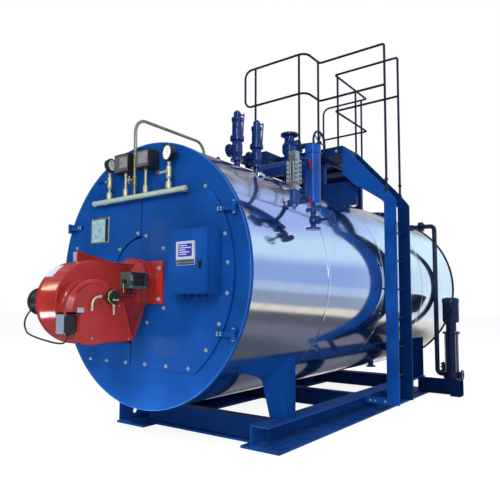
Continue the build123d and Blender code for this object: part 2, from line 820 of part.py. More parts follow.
# Steam valve on its nozzle, with a bored and drilled top flange
steam_y = back(steam_back)
steam_height = shell_top + steam_rise
steam_base = steam_height - steam_half
with BuildPart() as steam_valve:
    add(globe_valve((0, steam_y, steam_height), steam_half, steam_flange, 58, 84, 22,
                    steam_reach, steam_spindle))
    with Locations((0, steam_y, steam_height + steam_half - 40)):
        Cylinder(41, 80, mode=Mode.SUBTRACT)
    with Locations((0, steam_y, steam_height + steam_half - 11)):
        with PolarLocations(80, 8, start_angle=22.5):
            Cylinder(9, 30, mode=Mode.SUBTRACT)
steam_valve.part.label = "steam_valve"
export_step(steam_valve.part, "parts/steam_valve.step")

with BuildPart() as steam_wheel_part:
    add(handwheel((steam_reach, steam_y, steam_height), steam_wheel, 9, 22,
                  steam_spindle + pin_clearance, 5))
steam_wheel_part.part.label = "steam_handwheel"
export_step(steam_wheel_part.part, "parts/steam_handwheel.step")

# Nozzles on the shell: steam, vent and blowdown
blowdown_x = 497
blowdown_y = back(3215)
blowdown_base = axis_height - shell_radius + 18
with BuildPart() as shell_nozzles:
    add(turned((0, steam_y, steam_base), (0, 0, -1), [
        (0, 0), (steam_flange, 0), (steam_flange, 22), (57, 22), (57, 420), (0, 420),
    ]))
    add(turned((0, back(3980), shell_top + 96), (0, 0, -1), [
        (0, 0), (55, 0), (55, 18), (32, 18), (32, 150), (0, 150),
    ]))
    add(turned((0, back(897), shell_top + 90), (0, 0, -1), [
        (0, 0), (24, 0), (24, 30), (14, 30), (14, 150), (0, 150),
    ]))
    add(turned((blowdown_x, blowdown_y, blowdown_base + 42), (0, 0, 1), [
        (0, 0), (55, 0), (55, 16), (32, 16), (32, 168), (0, 168),
    ]))
    with Locations((blowdown_x, blowdown_y, blowdown_base + 42)):
        Cylinder(22, 84, mode=Mode.SUBTRACT)
    add(shell_space, mode=Mode.SUBTRACT)
shell_nozzles.part.label = "shell_nozzles"
export_step(shell_nozzles.part, "parts/shell_nozzles.step")

# Water column beside the shell
column_y = back(column_back)
drain_top = column_low - 41
drain_centre = drain_top - 14 - drain_half
with BuildPart() as water_column:
    add(turned((column_x, column_y, column_low), (0, 0, 1), [
        (0, -55), (drain_flange, -55), (drain_flange, -41), (16, -41), (16, 0), (column_radius, 0),
        (column_radius, 400), (63, 400), (63, 464), (0, 464),
    ]))
water_column.part.label = "water_column"
export_step(water_column.part, "parts/water_column.step")

# Pipes from the shell to the column
with BuildPart() as column_pipes:
    add(rod((700, column_y, column_low + 29), (column_x, column_y, column_low + 29), 18))
    add(rod((700, column_y, column_low + 29), (905, column_y, column_low + 29), 30))
    add(pipe([
        (586, column_y, 2120), (586, column_y, column_high - 31), (column_x, column_y, column_high - 31),
    ], 17, 60))
    add(rod((586, column_y, 2120), (586, column_y, 2245), 30))
    add(shell_space, mode=Mode.SUBTRACT)
    with Locations((column_x, column_y, column_low + 200)):
        Cylinder(column_radius, 400, mode=Mode.SUBTRACT)
column_pipes.part.label = "column_pipes"
export_step(column_pipes.part, "parts/column_pipes.step")

# Level gauge between its two cocks
gauge_y = back(gauge_back)
cock_heights = (1945, 2235)
cock_y = back(600)
with BuildPart() as level_gauge:
    block((column_x - 47, column_x + 47), (gauge_y - 30, gauge_y + 30), (2022, 2197))
    block((column_x - 30, column_x + 30), (gauge_y - 28, gauge_y + 28), (2197, 2266))
    block((column_x - 30, column_x + 30), (gauge_y - 28, gauge_y + 28), (1966, 2022))
    add(rod((column_x, gauge_y, 1863), (column_x, gauge_y, 1966), 34))
    for z in cock_heights:
        add(rod((column_x, gauge_y, z), (column_x, column_y, z), 16))
        add(rod((column_x, cock_y - 30, z), (column_x, cock_y + 30, z), 26))
        add(turned((column_x, cock_y, z), (1, 0, 0), [
            (0, 0), (14, 0), (14, 34), (lever_pin, 34), (lever_pin, 47), (10, 47), (10, 53), (0, 53),
        ]))
    with Locations((column_x, column_y, column_low + 200)):
        Cylinder(column_radius, 400, mode=Mode.SUBTRACT)
level_gauge.part.label = "level_gauge"
export_step(level_gauge.part, "parts/level_gauge.step")

for place, z in zip(("lower", "upper"), cock_heights):
    with BuildPart() as cock_lever:
        add(quarter_lever(column_x + 36.5, cock_y, z, (1, 0, 0), (0, sin(radians(32)), -cos(radians(32))), 76))
    cock_lever.part.label = "cock_lever_" + place
    export_step(cock_lever.part, "parts/cock_lever_" + place + ".step")

# Drain valve under the column
with BuildPart() as drain_valve:
    add(globe_valve((column_x, column_y, drain_centre), drain_half, drain_flange, 22, 34, 14,
                    drain_reach, drain_spindle))
drain_valve.part.label = "drain_valve"
export_step(drain_valve.part, "parts/drain_valve.step")

with BuildPart() as drain_wheel_part:
    add(handwheel((column_x + drain_reach, column_y, drain_centre), drain_wheel, 6, 14,
                  drain_spindle + pin_clearance, 5))
drain_wheel_part.part.label = "drain_handwheel"
export_step(drain_wheel_part.part, "parts/drain_handwheel.step")

# Platform deck, notched round the steam valve, and its landing
deck_y = (back(deck_front_back), back(deck_rear_back))
notch_y = back(notch_rear_back)
ladder_y = (back(ladder_front_back), back(ladder_rear_back))
deck_z = (deck_top - deck_depth, deck_top)
with BuildPart() as platform_deck:
    outline = [
        (deck_left, deck_y[0]), (notch_left, deck_y[0]), (notch_left, notch_y), (deck_right, notch_y),
        (deck_right, deck_y[1]), (deck_left, deck_y[1]),
    ]
    add(prism(Plane.XY.offset(deck_z[0]), outline, deck_depth))
platform_deck.part.label = "platform_deck"
export_step(platform_deck.part, "parts/platform_deck.step")

with BuildPart() as platform_landing:
    block((deck_right, landing_right), (ladder_y[0] - 9, ladder_y[1] + 9), deck_z)
platform_landing.part.label = "platform_landing"
export_step(platform_landing.part, "parts/platform_landing.step")

# Posts and beams that carry the platform on the shell
front_beam_z = (2569, 2669)
with BuildPart() as platform_frame:
    front_y_span = (deck_y[0], deck_y[0] + 60)
    block((-257, 372), front_y_span, front_beam_z)
    block((-257, notch_left), front_y_span, (shell_top - 100, deck_z[0]))
    block((deck_right - 45, 372), front_y_span, (shell_top - 200, front_beam_z[1]))
    block((-223, 697), (back(2418), back(2478)), (2228, 2497))
    block((-223, -163), (back(2418), back(2478)), (2400, deck_z[0]))
    block((250, 310), (back(2418), back(2478)), (2400, deck_z[0]))
    rear_post_y = (deck_y[1] - 124, deck_y[1] - 64)
    block((deck_left + 60, deck_right - 60), rear_post_y, (shell_top + 158, shell_top + 258))
    for x in (deck_left + 60, deck_right - 120):
        block((x, x + 60), rear_post_y, (shell_top - 252, deck_z[0]))
    add(shell_space, mode=Mode.SUBTRACT)
platform_frame.part.label = "platform_frame"
export_step(platform_frame.part, "parts/platform_frame.step")

# Ladder stringers, bent at the top to reach the landing, with brackets to the skid
stringer_outer = stringer_inner + stringer_width
knee = stringer_knee
stringer = [
    (landing_right, 2557), (landing_right, deck_top), (stringer_outer - 101, knee + 137),
    (stringer_outer - 22, knee + 34), (stringer_outer, knee), (stringer_outer, ladder_foot),
    (rail_web + rail_flange, ladder_foot), (rail_web + rail_flange, ladder_foot + 60),
    (stringer_inner, ladder_foot + 60), (stringer_inner, knee - 4), (stringer_inner - 36, knee + 30),
    (stringer_inner - 216, knee + 155), (726, 2423),
]
with BuildPart() as ladder_stringers:
    for y in ladder_y:
        add(prism(facing(y + stringer_thick / 2), stringer, stringer_thick))
ladder_stringers.part.label = "ladder_stringers"
export_step(ladder_stringers.part, "parts/ladder_stringers.step")

with BuildPart() as ladder_rungs:
    rung_x = (stringer_inner + stringer_outer) / 2
    for number in range(rung_count):
        z = rung_first + number * rung_pitch
        add(rod((rung_x, ladder_y[0] + stringer_thick / 2, z), (rung_x, ladder_y[1] - stringer_thick / 2, z), rung_radius))
ladder_rungs.part.label = "ladder_rungs"
export_step(ladder_rungs.part, "parts/ladder_rungs.step")

# Handrails: top rails bent down at their ends, posts and middle rails between them
front_rail_y = deck_y[0] + 14
rear_rail_y = deck_y[1] - 14
left_rail_x = deck_left + 60
right_rail_x = deck_right - 14
end_rail_x = 1088
stringer_edge = stringer_knee + 100
rail_middle = rail_top - rail_drop
loop_end_x = left_rail_x + 2 * rail_bend
with BuildPart() as handrail_top:
    add(pipe([
        (loop_end_x, front_rail_y, rail_middle), (left_rail_x, front_rail_y, rail_middle),
        (left_rail_x, front_rail_y, rail_top), (right_rail_x, front_rail_y, rail_top),
        (right_rail_x, ladder_y[0], rail_top), (end_rail_x, ladder_y[0], rail_top),
        (end_rail_x, ladder_y[0], stringer_edge),
    ], rail_radius, [rail_bend, rail_bend, rail_bend, rail_corner, rail_corner]))
    add(pipe([
        (end_rail_x, ladder_y[1], stringer_edge), (end_rail_x, ladder_y[1], rail_top),
        (right_rail_x, ladder_y[1], rail_top), (right_rail_x, rear_rail_y, rail_top),
        (rear_rail_end, rear_rail_y, rail_top), (rear_rail_end, rear_rail_y, deck_top),
    ], rail_radius, [rail_corner, rail_corner, rail_corner, rail_bend]))
    add(ladder_stringers.part, mode=Mode.SUBTRACT)
handrail_top.part.label = "handrail_top"
export_step(handrail_top.part, "parts/handrail_top.step")

front_posts = [(-361, front_rail_y), (230, front_rail_y), (right_rail_x, ladder_y[0] - 40)]
rear_posts = [(right_rail_x, ladder_y[1] + 60), (right_rail_x, back(3271)), (242, rear_rail_y)]
with BuildPart() as handrail_posts:
    for x, y in front_posts + rear_posts:
        foot = front_beam_z[1] if x > notch_left and y < notch_y else deck_top
        add(rod((x, y, foot), (x, y, rail_top - 4), rail_radius))
    add(handrail_top.part, mode=Mode.SUBTRACT)
handrail_posts.part.label = "handrail_posts"
export_step(handrail_posts.part, "parts/handrail_posts.step")

with BuildPart() as handrail_middle:
    add(pipe([
        (loop_end_x, front_rail_y, rail_middle), (right_rail_x, front_rail_y, rail_middle),
        (right_rail_x, ladder_y[0], rail_middle), (end_rail_x, ladder_y[0], rail_middle),
    ], rail_radius, [rail_bend, rail_corner]))
    add(pipe([
        (end_rail_x, ladder_y[1], rail_middle), (right_rail_x, ladder_y[1], rail_middle),
        (right_rail_x, rear_rail_y, rail_middle), (rear_rail_end, rear_rail_y, rail_middle),
    ], rail_radius, rail_corner))
    add(handrail_top.part, mode=Mode.SUBTRACT)
    add(handrail_posts.part, mode=Mode.SUBTRACT)
handrail_middle.part.label = "handrail_middle"
export_step(handrail_middle.part, "parts/handrail_middle.step")

# Flue outlet over the rear smoke box
with BuildPart() as flue_outlet:
    add(turned((0, back(flue_back), flue_top), (0, 0, -1), [
        (flue_radius - flue_wall, 0), (flue_radius + 50, 0), (flue_radius + 50, 16), (flue_radius, 16),
        (flue_radius, flue_top - shell_top + shell_wall + 10),
        (flue_radius - flue_wall, flue_top - shell_top + shell_wall + 10),
    ]))
flue_outlet.part.label = "flue_outlet"
export_step(flue_outlet.part, "parts/flue_outlet.step")

# Feed pump, its motor and the pipe up to the shell
pump_y = back(pump_back)
with BuildPart() as feed_pump:
    block((pump_x - 100, pump_x + 100), (pump_y - 75, pump_y + 75), (rail_height, rail_height + 16))
    add(turned((pump_x, pump_y, rail_height + 16), (0, 0, 1), [
        (0, 0), (88, 0), (88, 90), (70, 95), (70, 560), (105, 560), (105, 580), (62, 580),
        (62, 700), (92, 700), (92, 718), (0, 718),
    ]))
    for direction, reach in ((-1, 92), (1, 130)):
        add(turned((pump_x, pump_y, 262), (direction, 0, 0), [
            (0, 0), (36, 0), (36, reach - 18), (62, reach - 18), (62, reach), (0, reach),
        ]))
    with Locations(Location((pump_x + 110, pump_y, 262), (0, 90, 0))):
        Cylinder(25, 42, mode=Mode.SUBTRACT)
feed_pump.part.label = "feed_pump"
export_step(feed_pump.part, "parts/feed_pump.step")

with BuildPart() as pump_motor:
    add(turned((pump_x, pump_y, rail_height + 16 + 718), (0, 0, 1), [
        (0, 0), (98, 0), (98, 240), (90, 250), (90, 285), (60, 295), (0, 295),
    ]))
pump_motor.part.label = "pump_motor"
export_step(pump_motor.part, "parts/pump_motor.step")

with BuildPart() as feed_line:
    add(pipe([
        (640, pump_y, feed_height), (feed_pipe_x, pump_y, feed_height),
        (feed_pipe_x, pump_y, 262), (pump_x - 92, pump_y, 262),
    ], feed_radius, 55))
    add(turned((700, pump_y, feed_height), (1, 0, 0), [
        (0, 0), (39, 0), (39, 80), (0, 80),
    ]))
    add(turned((862, pump_y, feed_height), (1, 0, 0), [
        (0, 0), (66, 0), (66, 16), (44, 16), (44, 28), (66, 28), (66, 44), (0, 44),
    ]))
    add(shell_space, mode=Mode.SUBTRACT)
feed_line.part.label = "feed_line"
export_step(feed_line.part, "parts/feed_line.step")

# Cable from the motor down under the housing to the terminal box
cable_bends = []
for before, corner, after in zip(cable_points, cable_points[1:], cable_points[2:]):
    arrive = Vector(*corner) - Vector(*before)
    leave = Vector(*after) - Vector(*corner)
    half_turn = radians(arrive.get_angle(leave) / 2)
    cable_bends.append(0.45 * min(arrive.length, leave.length) / tan(half_turn))
print("cable bend radii", [round(bend) for bend in cable_bends])
with BuildPart() as burner_cable:
    with BuildLine() as cable_path:
        FilletPolyline(*cable_points, radius=cable_bends)
    with BuildSketch(cable_path.line ^ 0):
        Circle(cable_radius)
    sweep(path=cable_path.line)
cable_length = sum(edge.length for edge in cable_path.edges())
cable_section = pi * cable_radius**2
print("cable length", round(cable_length))
print("cable volume share", round(burner_cable.part.volume / (cable_section * cable_length), 4))
burner_cable.part.label = "burner_cable"
export_step(burner_cable.part, "parts/burner_cable.step")
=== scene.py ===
"""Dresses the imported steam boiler: finishes, small fittings, the burner cable, light and camera.

Pieces are given in millimetres, as X, depth behind the front plate's face, and height.
"""

import logging
from dataclasses import dataclass
from enum import Enum
from itertools import product
from math import cos, pi, radians, sin, sqrt
from typing import Iterable, Sequence

import bmesh
import bpy
import numpy as np
from mathutils import Matrix, Vector


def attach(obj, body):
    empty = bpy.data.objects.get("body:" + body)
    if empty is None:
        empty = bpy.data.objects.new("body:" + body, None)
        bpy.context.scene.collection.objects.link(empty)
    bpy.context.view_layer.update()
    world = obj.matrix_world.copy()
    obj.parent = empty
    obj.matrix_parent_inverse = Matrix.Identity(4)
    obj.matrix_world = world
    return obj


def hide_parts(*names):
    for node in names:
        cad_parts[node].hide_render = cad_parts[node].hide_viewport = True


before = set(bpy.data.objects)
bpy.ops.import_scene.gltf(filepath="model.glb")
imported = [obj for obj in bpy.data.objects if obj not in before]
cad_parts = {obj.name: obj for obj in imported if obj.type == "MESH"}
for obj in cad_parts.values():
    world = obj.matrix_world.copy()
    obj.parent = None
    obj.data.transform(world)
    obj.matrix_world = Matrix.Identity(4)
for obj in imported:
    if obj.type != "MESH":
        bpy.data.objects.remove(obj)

LOG = logging.getLogger("boiler")
MM = 0.001
FRONT = -2380.0  # Y of the front plate's face, from which depths run backward
REAR = 4880.0  # depth of the rear cover's face
DOOR = -21.0  # depth of the door leaves' face
AXIS = 1360.0  # height of the shell's axis
SHELL = 1042.0  # radius of the jacket
CROWN = AXIS + SHELL
UP, DOWN = (0.0, 0.0, 1.0), (0.0, 0.0, -1.0)
FORWARD, BACKWARD = (0.0, -1.0, 0.0), (0.0, 1.0, 0.0)
RIGHT, LEFT = (1.0, 0.0, 0.0), (-1.0, 0.0, 0.0)

Point = Sequence[float]
Outline = Sequence[tuple[float, float]]
Colour = tuple[float, float, float]


class Body(str, Enum):
    """Rigid bodies of the frame that pieces ride on."""

    BOILER = "boiler"
    DOOR_LEFT = "door_left"
    DOOR_RIGHT = "door_right"
    CABINET_DOOR = "cabinet_door"
    STEAM_WHEEL = "steam_handwheel"
    LEVER_LEFT = "gauge_lever_left"
    LEVER_RIGHT = "gauge_lever_right"
    COCK_LOWER = "cock_lever_lower"
    COCK_UPPER = "cock_lever_upper"


# Shader graphs


class Shade:
    """One output of a node graph, with arithmetic that adds math nodes to it."""

    def __init__(self, graph: "Graph", socket: bpy.types.NodeSocket) -> None:
        self.graph = graph
        self.socket = socket

    def _math(self, operation: str, *terms: "Shade | float") -> "Shade":
        return self.graph.node("ShaderNodeMath", dict(enumerate(terms)), operation=operation)

    def __add__(self, other: "Shade | float") -> "Shade":
        return self._math("ADD", self, other)

    __radd__ = __add__

    def __sub__(self, other: "Shade | float") -> "Shade":
        return self._math("SUBTRACT", self, other)

    def __rsub__(self, other: float) -> "Shade":
        return self._math("SUBTRACT", other, self)

    def __mul__(self, other: "Shade | float") -> "Shade":
        return self._math("MULTIPLY", self, other)

    __rmul__ = __mul__

    def __gt__(self, other: "Shade | float") -> "Shade":
        return self._math("GREATER_THAN", self, other)

    def __lt__(self, other: "Shade | float") -> "Shade":
        return self._math("LESS_THAN", self, other)

    def wave(self) -> "Shade":
        """Sine of the value, in radians."""
        return self._math("SINE", self)

    def size(self) -> "Shade":
        """The value without its sign."""
        return self._math("ABSOLUTE", self)

    def step(self, low: float, high: float) -> "Shade":
        """Smooth step from 0 at low to 1 at high."""
        inputs = {0: self, 1: low, 2: high, 3: 0.0, 4: 1.0}
        return self.graph.node("ShaderNodeMapRange", inputs, interpolation_type="SMOOTHSTEP")


class Graph:
    """Node tree of one material or of the world, read through one set of coordinates."""

    def __init__(self, tree: bpy.types.NodeTree) -> None:
        self.tree = tree
        tree.nodes.clear()

    def node(
        self,
        kind: str,
        inputs: dict[int | str, object] | None = None,
        output: int | str = 0,
        **settings: object,
    ) -> Shade:
        """Adds any node and returns one of its outputs.

        Args:
            kind: Blender's name of the node type.
            inputs: Values or other outputs, by the input's name or number.
            output: Name or number of the output that is returned.
            **settings: Properties of the node itself, set before its inputs.

        Returns:
            The chosen output, ready for arithmetic.
        """
        made = self.tree.nodes.new(kind)
        for name, value in settings.items():
            setattr(made, name, value)
        for key, value in (inputs or {}).items():
            if isinstance(value, Shade):
                self.tree.links.new(value.socket, made.inputs[key])
            else:
                made.inputs[key].default_value = value
        return Shade(self, made.outputs[output])

    def place(self) -> Shade:
        """Object coordinates, which are metres in the shared frame."""
        return self.node("ShaderNodeTexCoord", output="Object")

    def axes(self, vector: Shade) -> tuple[Shade, Shade, Shade]:
        """X, Y and Z of a vector."""
        outputs = self.node("ShaderNodeSeparateXYZ", {0: vector}).socket.node.outputs
        return Shade(self, outputs[0]), Shade(self, outputs[1]), Shade(self, outputs[2])

    def vector(self, x: Shade | float, y: Shade | float, z: Shade | float) -> Shade:
        """Vector made from three values."""
        return self.node("ShaderNodeCombineXYZ", {0: x, 1: y, 2: z})

    def noise(self, scale: float, detail: float = 2.0, where: Shade | None = None) -> Shade:
        """Noise between 0 and 1, with about scale lumps a metre."""
        inputs = {"Vector": where or self.place(), "Scale": scale, "Detail": detail, "Roughness": 0.5}
        return self.node("ShaderNodeTexNoise", inputs)

    def blend(self, factor: Shade | float, first: "Shade | Colour", second: "Shade | Colour") -> Shade:
        """Colour between two others."""
        colours = [c if isinstance(c, Shade) else (*c, 1.0) for c in (first, second)]
        inputs = {0: factor, 6: colours[0], 7: colours[1]}
        return self.node("ShaderNodeMix", inputs, output=2, data_type="RGBA")

    def bands(self, value: Shade, first: Colour, stops: Sequence[tuple[float, float, Colour]]) -> Shade:
        """Colour that changes as value rises, each stop a start, an end and its colour."""
        colour: Shade | Colour = first
        for low, high, following in stops:
            colour = self.blend(value.step(low, high), colour, following)
        return colour

    def bump(self, height: Shade, depth: float, strength: float = 1.0, normal: Shade | None = None) -> Shade:
        """Normal that shows height as relief, depth metres deep."""
        inputs: dict[int | str, object] = {"Height": height, "Distance": depth, "Strength": strength}
        if normal is not None:
            inputs["Normal"] = normal
        return self.node("ShaderNodeBump", inputs)

    def surface(self, **inputs: object) -> None:
        """Ends the graph in a Principled BSDF, inputs named with _ for the blanks."""
        named = {name.replace("_", " "): value for name, value in inputs.items()}
        self.end("ShaderNodeOutputMaterial", self.node("ShaderNodeBsdfPrincipled", named))

    def end(self, kind: str, shader: Shade) -> None:
        """Connects a shader to the tree's output node."""
        out = self.tree.nodes.new(kind)
        self.tree.links.new(shader.socket, out.inputs["Surface"])


# Finishes


@dataclass(frozen=True)
class Finish:
    """A surface finish, made into a material once and then shared."""

    name: str
    slot: str

    def material(self) -> bpy.types.Material:
        """The material of this finish, made at its first use."""
        found = bpy.data.materials.get(self.name)
        if found is None:
            found = bpy.data.materials.new(self.name)
            found.use_nodes = True
            self.build(Graph(found.node_tree))
        return found

    def build(self, g: Graph) -> None:
        """Writes the finish into an empty graph."""
        raise NotImplementedError


@dataclass(frozen=True)
class Paint(Finish):
    """Sprayed paint: slow colour drift, orange peel, and dust on what faces up."""

    colour: Colour
    roughness: float = 0.32
    coat: float = 0.06
    peel: float = 0.00004
    dust: float = 0.12
    cast: float = 0.0
    specular: float = 0.16
    treads: float = 0.0
    shaded: tuple[float, float] | None = None  # Y in metres over which it passes into shade

    def build(self, g: Graph) -> None:
        drift = g.noise(2.5, 3.0)
        fine = g.noise(90.0, 3.0)
        light = tuple(min(1.0, c * 1.22 + 0.002) for c in self.colour)
        dark = tuple(c * 0.75 for c in self.colour)
        base = g.blend(drift.step(0.25, 0.75), dark, light)
        base = g.blend(fine.step(0.35, 0.75) * 0.35, base, self.colour)
        # Painted shade: past the shaded Y range the colour darkens to 0.28 of itself, standing in for the
        # machine's own shade.
        if self.shaded is not None:
            _, y, _ = g.axes(g.place())
            base = g.blend(y.step(*self.shaded) * 0.9, base, tuple(c * 0.28 for c in self.colour))
        _, _, up = g.axes(g.node("ShaderNodeNewGeometry", output="Normal"))
        grime = up.step(0.55, 1.0) * g.noise(14.0, 4.0).step(0.35, 0.8) * self.dust
        base = g.blend(grime, base, (0.30, 0.30, 0.31))
        height = g.noise(420.0, 1.5) + g.noise(60.0, 4.0) * (self.cast * 6.0)
        normal = g.bump(height, self.peel + self.cast * 0.0004, 0.6)
        if self.treads:
            x, y, _ = g.axes(g.place())
            rib = ((x + y) * (pi / self.treads)).wave() * ((x - y) * (pi / self.treads)).wave()
            normal = g.bump(rib.size().step(0.5, 0.7) * up.step(0.8, 0.95), 0.0012, 1.0, normal)
        g.surface(
            Base_Color=base,
            Roughness=self.roughness + g.noise(9.0, 4.0) * 0.14 + grime * 0.5,
            Specular_IOR_Level=self.specular,
            Coat_Weight=self.coat * (1.0 - grime),
            Coat_Roughness=0.1,
            Normal=normal,
        )


@dataclass(frozen=True)
class MirrorSheet(Finish):
    """Polished stainless sheet with rolled waviness, faint streaks and finger marks."""

    colour: Colour = (0.80, 0.81, 0.84)
    roughness: float = 0.07
    wave: float = 0.0016

    def build(self, g: Graph) -> None:
        x, y, z = g.axes(g.place())
        buckle = g.noise(2.2, 1.0, g.vector(x * 1.3, y * 0.55, z * 1.3))
        streak = g.noise(60.0, 2.0, g.vector(x, y * 14.0, z))
        smear = g.noise(5.0, 5.0).step(0.4, 0.8)
        g.surface(
            Base_Color=g.blend(smear * 0.3, self.colour, (0.66, 0.67, 0.72)),
            Metallic=1.0,
            Roughness=self.roughness + smear * 0.05 + streak * 0.035,
            Normal=g.bump(buckle, self.wave, 0.8),
        )


@dataclass(frozen=True)
class Metal(Finish):
    """Bare metal with fine turning or casting marks and some tarnish."""

    colour: Colour
    roughness: float = 0.3
    tarnish: Colour = (0.25, 0.22, 0.18)
    amount: float = 0.35
    grain: float = 160.0
    metallic: float = 1.0

    def build(self, g: Graph) -> None:
        patches = g.noise(22.0, 5.0).step(0.42, 0.8) * self.amount
        grain = g.noise(self.grain, 3.0)
        g.surface(
            Base_Color=g.blend(patches, self.colour, self.tarnish),
            Metallic=self.metallic - patches * 0.3,
            Roughness=self.roughness + patches * 0.3 + grain * 0.1,
            Normal=g.bump(grain, 0.00006, 0.5),
        )


@dataclass(frozen=True)
class Plastic(Finish):
    """Moulded plastic or rubber with a fine spark-eroded grain."""

    colour: Colour
    roughness: float = 0.5
    grain: float = 900.0

    def build(self, g: Graph) -> None:
        shade = g.noise(12.0, 3.0)
        paler = tuple(min(1.0, c * 1.25 + 0.006) for c in self.colour)
        g.surface(
            Base_Color=g.blend(shade.step(0.3, 0.8), self.colour, paler),
            Roughness=self.roughness + shade * 0.12,
            Normal=g.bump(g.noise(self.grain, 1.0), 0.00005, 0.5),
        )


@dataclass(frozen=True)
class GaugeBlock(Finish):
    """Level gauge: bare metal on the glass block, paint on its cocks and foot."""

    metal: Colour = (0.46, 0.46, 0.44)
    paint: Colour = (0.004, 0.030, 0.15)
    block: tuple[float, float] = (-1.88, 1.975)  # Y in front of which, and height over which, it is bare

    def build(self, g: Graph) -> None:
        _, y, z = g.axes(g.place())
        bare = (y < self.block[0]) * (z > self.block[1])
        patches = g.noise(30.0, 5.0).step(0.4, 0.8)
        cast = g.noise(140.0, 4.0)
        g.surface(
            Base_Color=g.blend(bare, self.paint, g.blend(patches * 0.6, self.metal, (0.24, 0.23, 0.22))),
            Metallic=bare * (0.9 - patches * 0.4),
            Roughness=0.3 + patches * 0.2,
            Normal=g.bump(cast, 0.0002, 0.6),
        )


BLUE = Paint("blue_enamel", "blue_paint", (0.004, 0.058, 0.26), coat=0.02, specular=0.05)
# Ladder blue with painted shade on the rear stringer and the rungs' far ends, past Y 0.05 to 0.20 m.
LADDER = Paint(
    "ladder_blue", "blue_paint", (0.004, 0.060, 0.28), coat=0.02, specular=0.06, shaded=(0.05, 0.20)
)
# Brighter than the blue enamel: painted light on the front cross beam; painted shade on the beams behind it,
# past Y -1.78 to -1.60 m.
BEAMS = Paint(
    "beam_blue", "blue_paint", (0.004, 0.070, 0.34), coat=0.03, specular=0.08, shaded=(-1.78, -1.60)
)
# Darker than the blue enamel, with painted shade on the saddles from Y -1.3 to 0.6 m; no specular, so the
# shade stays dark.
SADDLES = Paint("saddle_blue", "blue_paint", (0.003, 0.046, 0.21), coat=0.0, specular=0.0, shaded=(-1.3, 0.6))
# Brighter, glossier blue on the front plate's bead: painted highlight along the rim, on top of the light that
# the gloss catches.
EDGE = Paint("edge_painted_highlight", "blue_paint", (0.02, 0.14, 0.50), 0.12, coat=0.8, specular=0.5)
# Near-black copy of the blue paint: painted shade on the pump beam and on the rear cover, which is the same
# blue as the front.
NEAR_BLACK_SHADE = Paint("near_black_painted_shade", "blue_paint", (0.002, 0.012, 0.055), coat=0.0, specular=0.0)
# Dark copy of the blue paint for the deck, landing and joists: painted shade under the platform; the treads
# are bump only.
SHADED_DECK = Paint("deck_painted_shade", "blue_paint", (0.003, 0.020, 0.10), treads=0.03)
# Darker copy of the blue enamel: painted shade on the platform frame, the flue outlet and the cabinet's
# glands.
SHADED_BLUE = Paint("painted_shade_blue", "blue_paint", (0.003, 0.026, 0.13), 0.3, specular=0.10)
NAVY = Paint("valve_navy", "dark_blue_paint", (0.003, 0.026, 0.14), 0.12, 0.4, cast=0.12, specular=0.3)
PUMP = Paint("pump_navy", "dark_blue_paint", (0.003, 0.008, 0.035), 0.3, 0.25, cast=0.2, specular=0.3)
COLUMN_BLUE = Paint("column_enamel", "column_blue", (0.004, 0.056, 0.30), 0.12, 0.22, dust=0.03)
RED = Paint("burner_enamel", "burner_red", (0.36, 0.024, 0.016), 0.16, 0.45, dust=0.05, specular=0.3)
CRIMSON = Paint("lever_crimson", "lever_red", (0.26, 0.008, 0.014), 0.3)
LEVER_BLUE = Paint("lever_navy", "lever_blue", (0.004, 0.012, 0.05), 0.3)
RAIL = Paint("rail_dark", "dark_rail", (0.010, 0.014, 0.030), 0.35, dust=0.05)
JACKET = MirrorSheet("mirror_jacket", "polished_jacket")
STEEL = Metal("turned_steel", "bright_steel", (0.62, 0.62, 0.63), 0.28)
ZINC = Metal("zinc_bolts", "bright_steel", (0.42, 0.48, 0.54), 0.34, amount=0.4, metallic=0.45)
SATIN_PLATE = Metal(
    "satin_plate", "bright_steel", (0.36, 0.58, 0.62), 0.34, (0.06, 0.18, 0.30), 0.95, metallic=0.25
)
GAUGE_METAL = GaugeBlock("gauge_block", "bright_steel")
BRASS = Metal("pale_brass", "brass", (0.72, 0.68, 0.42), 0.24, (0.40, 0.36, 0.20), 0.45, metallic=0.55)
HEADER = Metal("header_brass", "brass", (0.50, 0.62, 0.52), 0.24, (0.34, 0.36, 0.22), 0.5, metallic=0.35)
SIPHON = Metal(
    "siphon_brass", "siphon_copper", (0.38, 0.35, 0.22), 0.26, (0.10, 0.10, 0.08), 0.8, metallic=0.8
)
IRON = Metal("boiler_iron", "boiler_steel", (0.16, 0.145, 0.14), 0.55, (0.10, 0.07, 0.05), 0.6)
BRUSHED = Metal(
    "brushed_cover", "black_plastic", (0.30, 0.31, 0.34), 0.34, (0.03, 0.03, 0.04), 0.85, 70.0, 0.3
)
SERVO = Metal("servo_case", "black_plastic", (0.085, 0.12, 0.115), 0.4, (0.008, 0.009, 0.01), 0.95, 60.0, 0.2)
BLACK = Plastic("black_moulding", "black_plastic", (0.012, 0.012, 0.014), 0.38)
COVER = Plastic("switch_cover", "black_plastic", (0.075, 0.078, 0.082), 0.36)
GAUGE_BLACK = Plastic("gauge_black", "gauge_case", (0.010, 0.010, 0.012), 0.26)
PALE = Plastic("pale_moulding", "pale_plastic", (0.60, 0.64, 0.70), 0.35)
DISPLAY = Plastic("display_frame", "pale_plastic", (0.40, 0.44, 0.53), 0.35)
PLAIN = Plastic("plain_plate", "pale_plastic", (0.27, 0.33, 0.40), 0.3)
BOX_GREY = Plastic("box_grey", "pale_plastic", (0.17, 0.22, 0.28), 0.35)
DIAL = Plastic("dial_white", "pale_plastic", (0.86, 0.86, 0.84), 0.5)
SCREEN = Plastic("screen_blue", "pale_plastic", (0.035, 0.03, 0.26), 0.12)
GLOW = Plastic("screen_rows", "pale_plastic", (0.50, 0.55, 0.85), 0.3)
BAND = Plastic("plain_band", "pale_plastic", (0.42, 0.50, 0.05), 0.4)
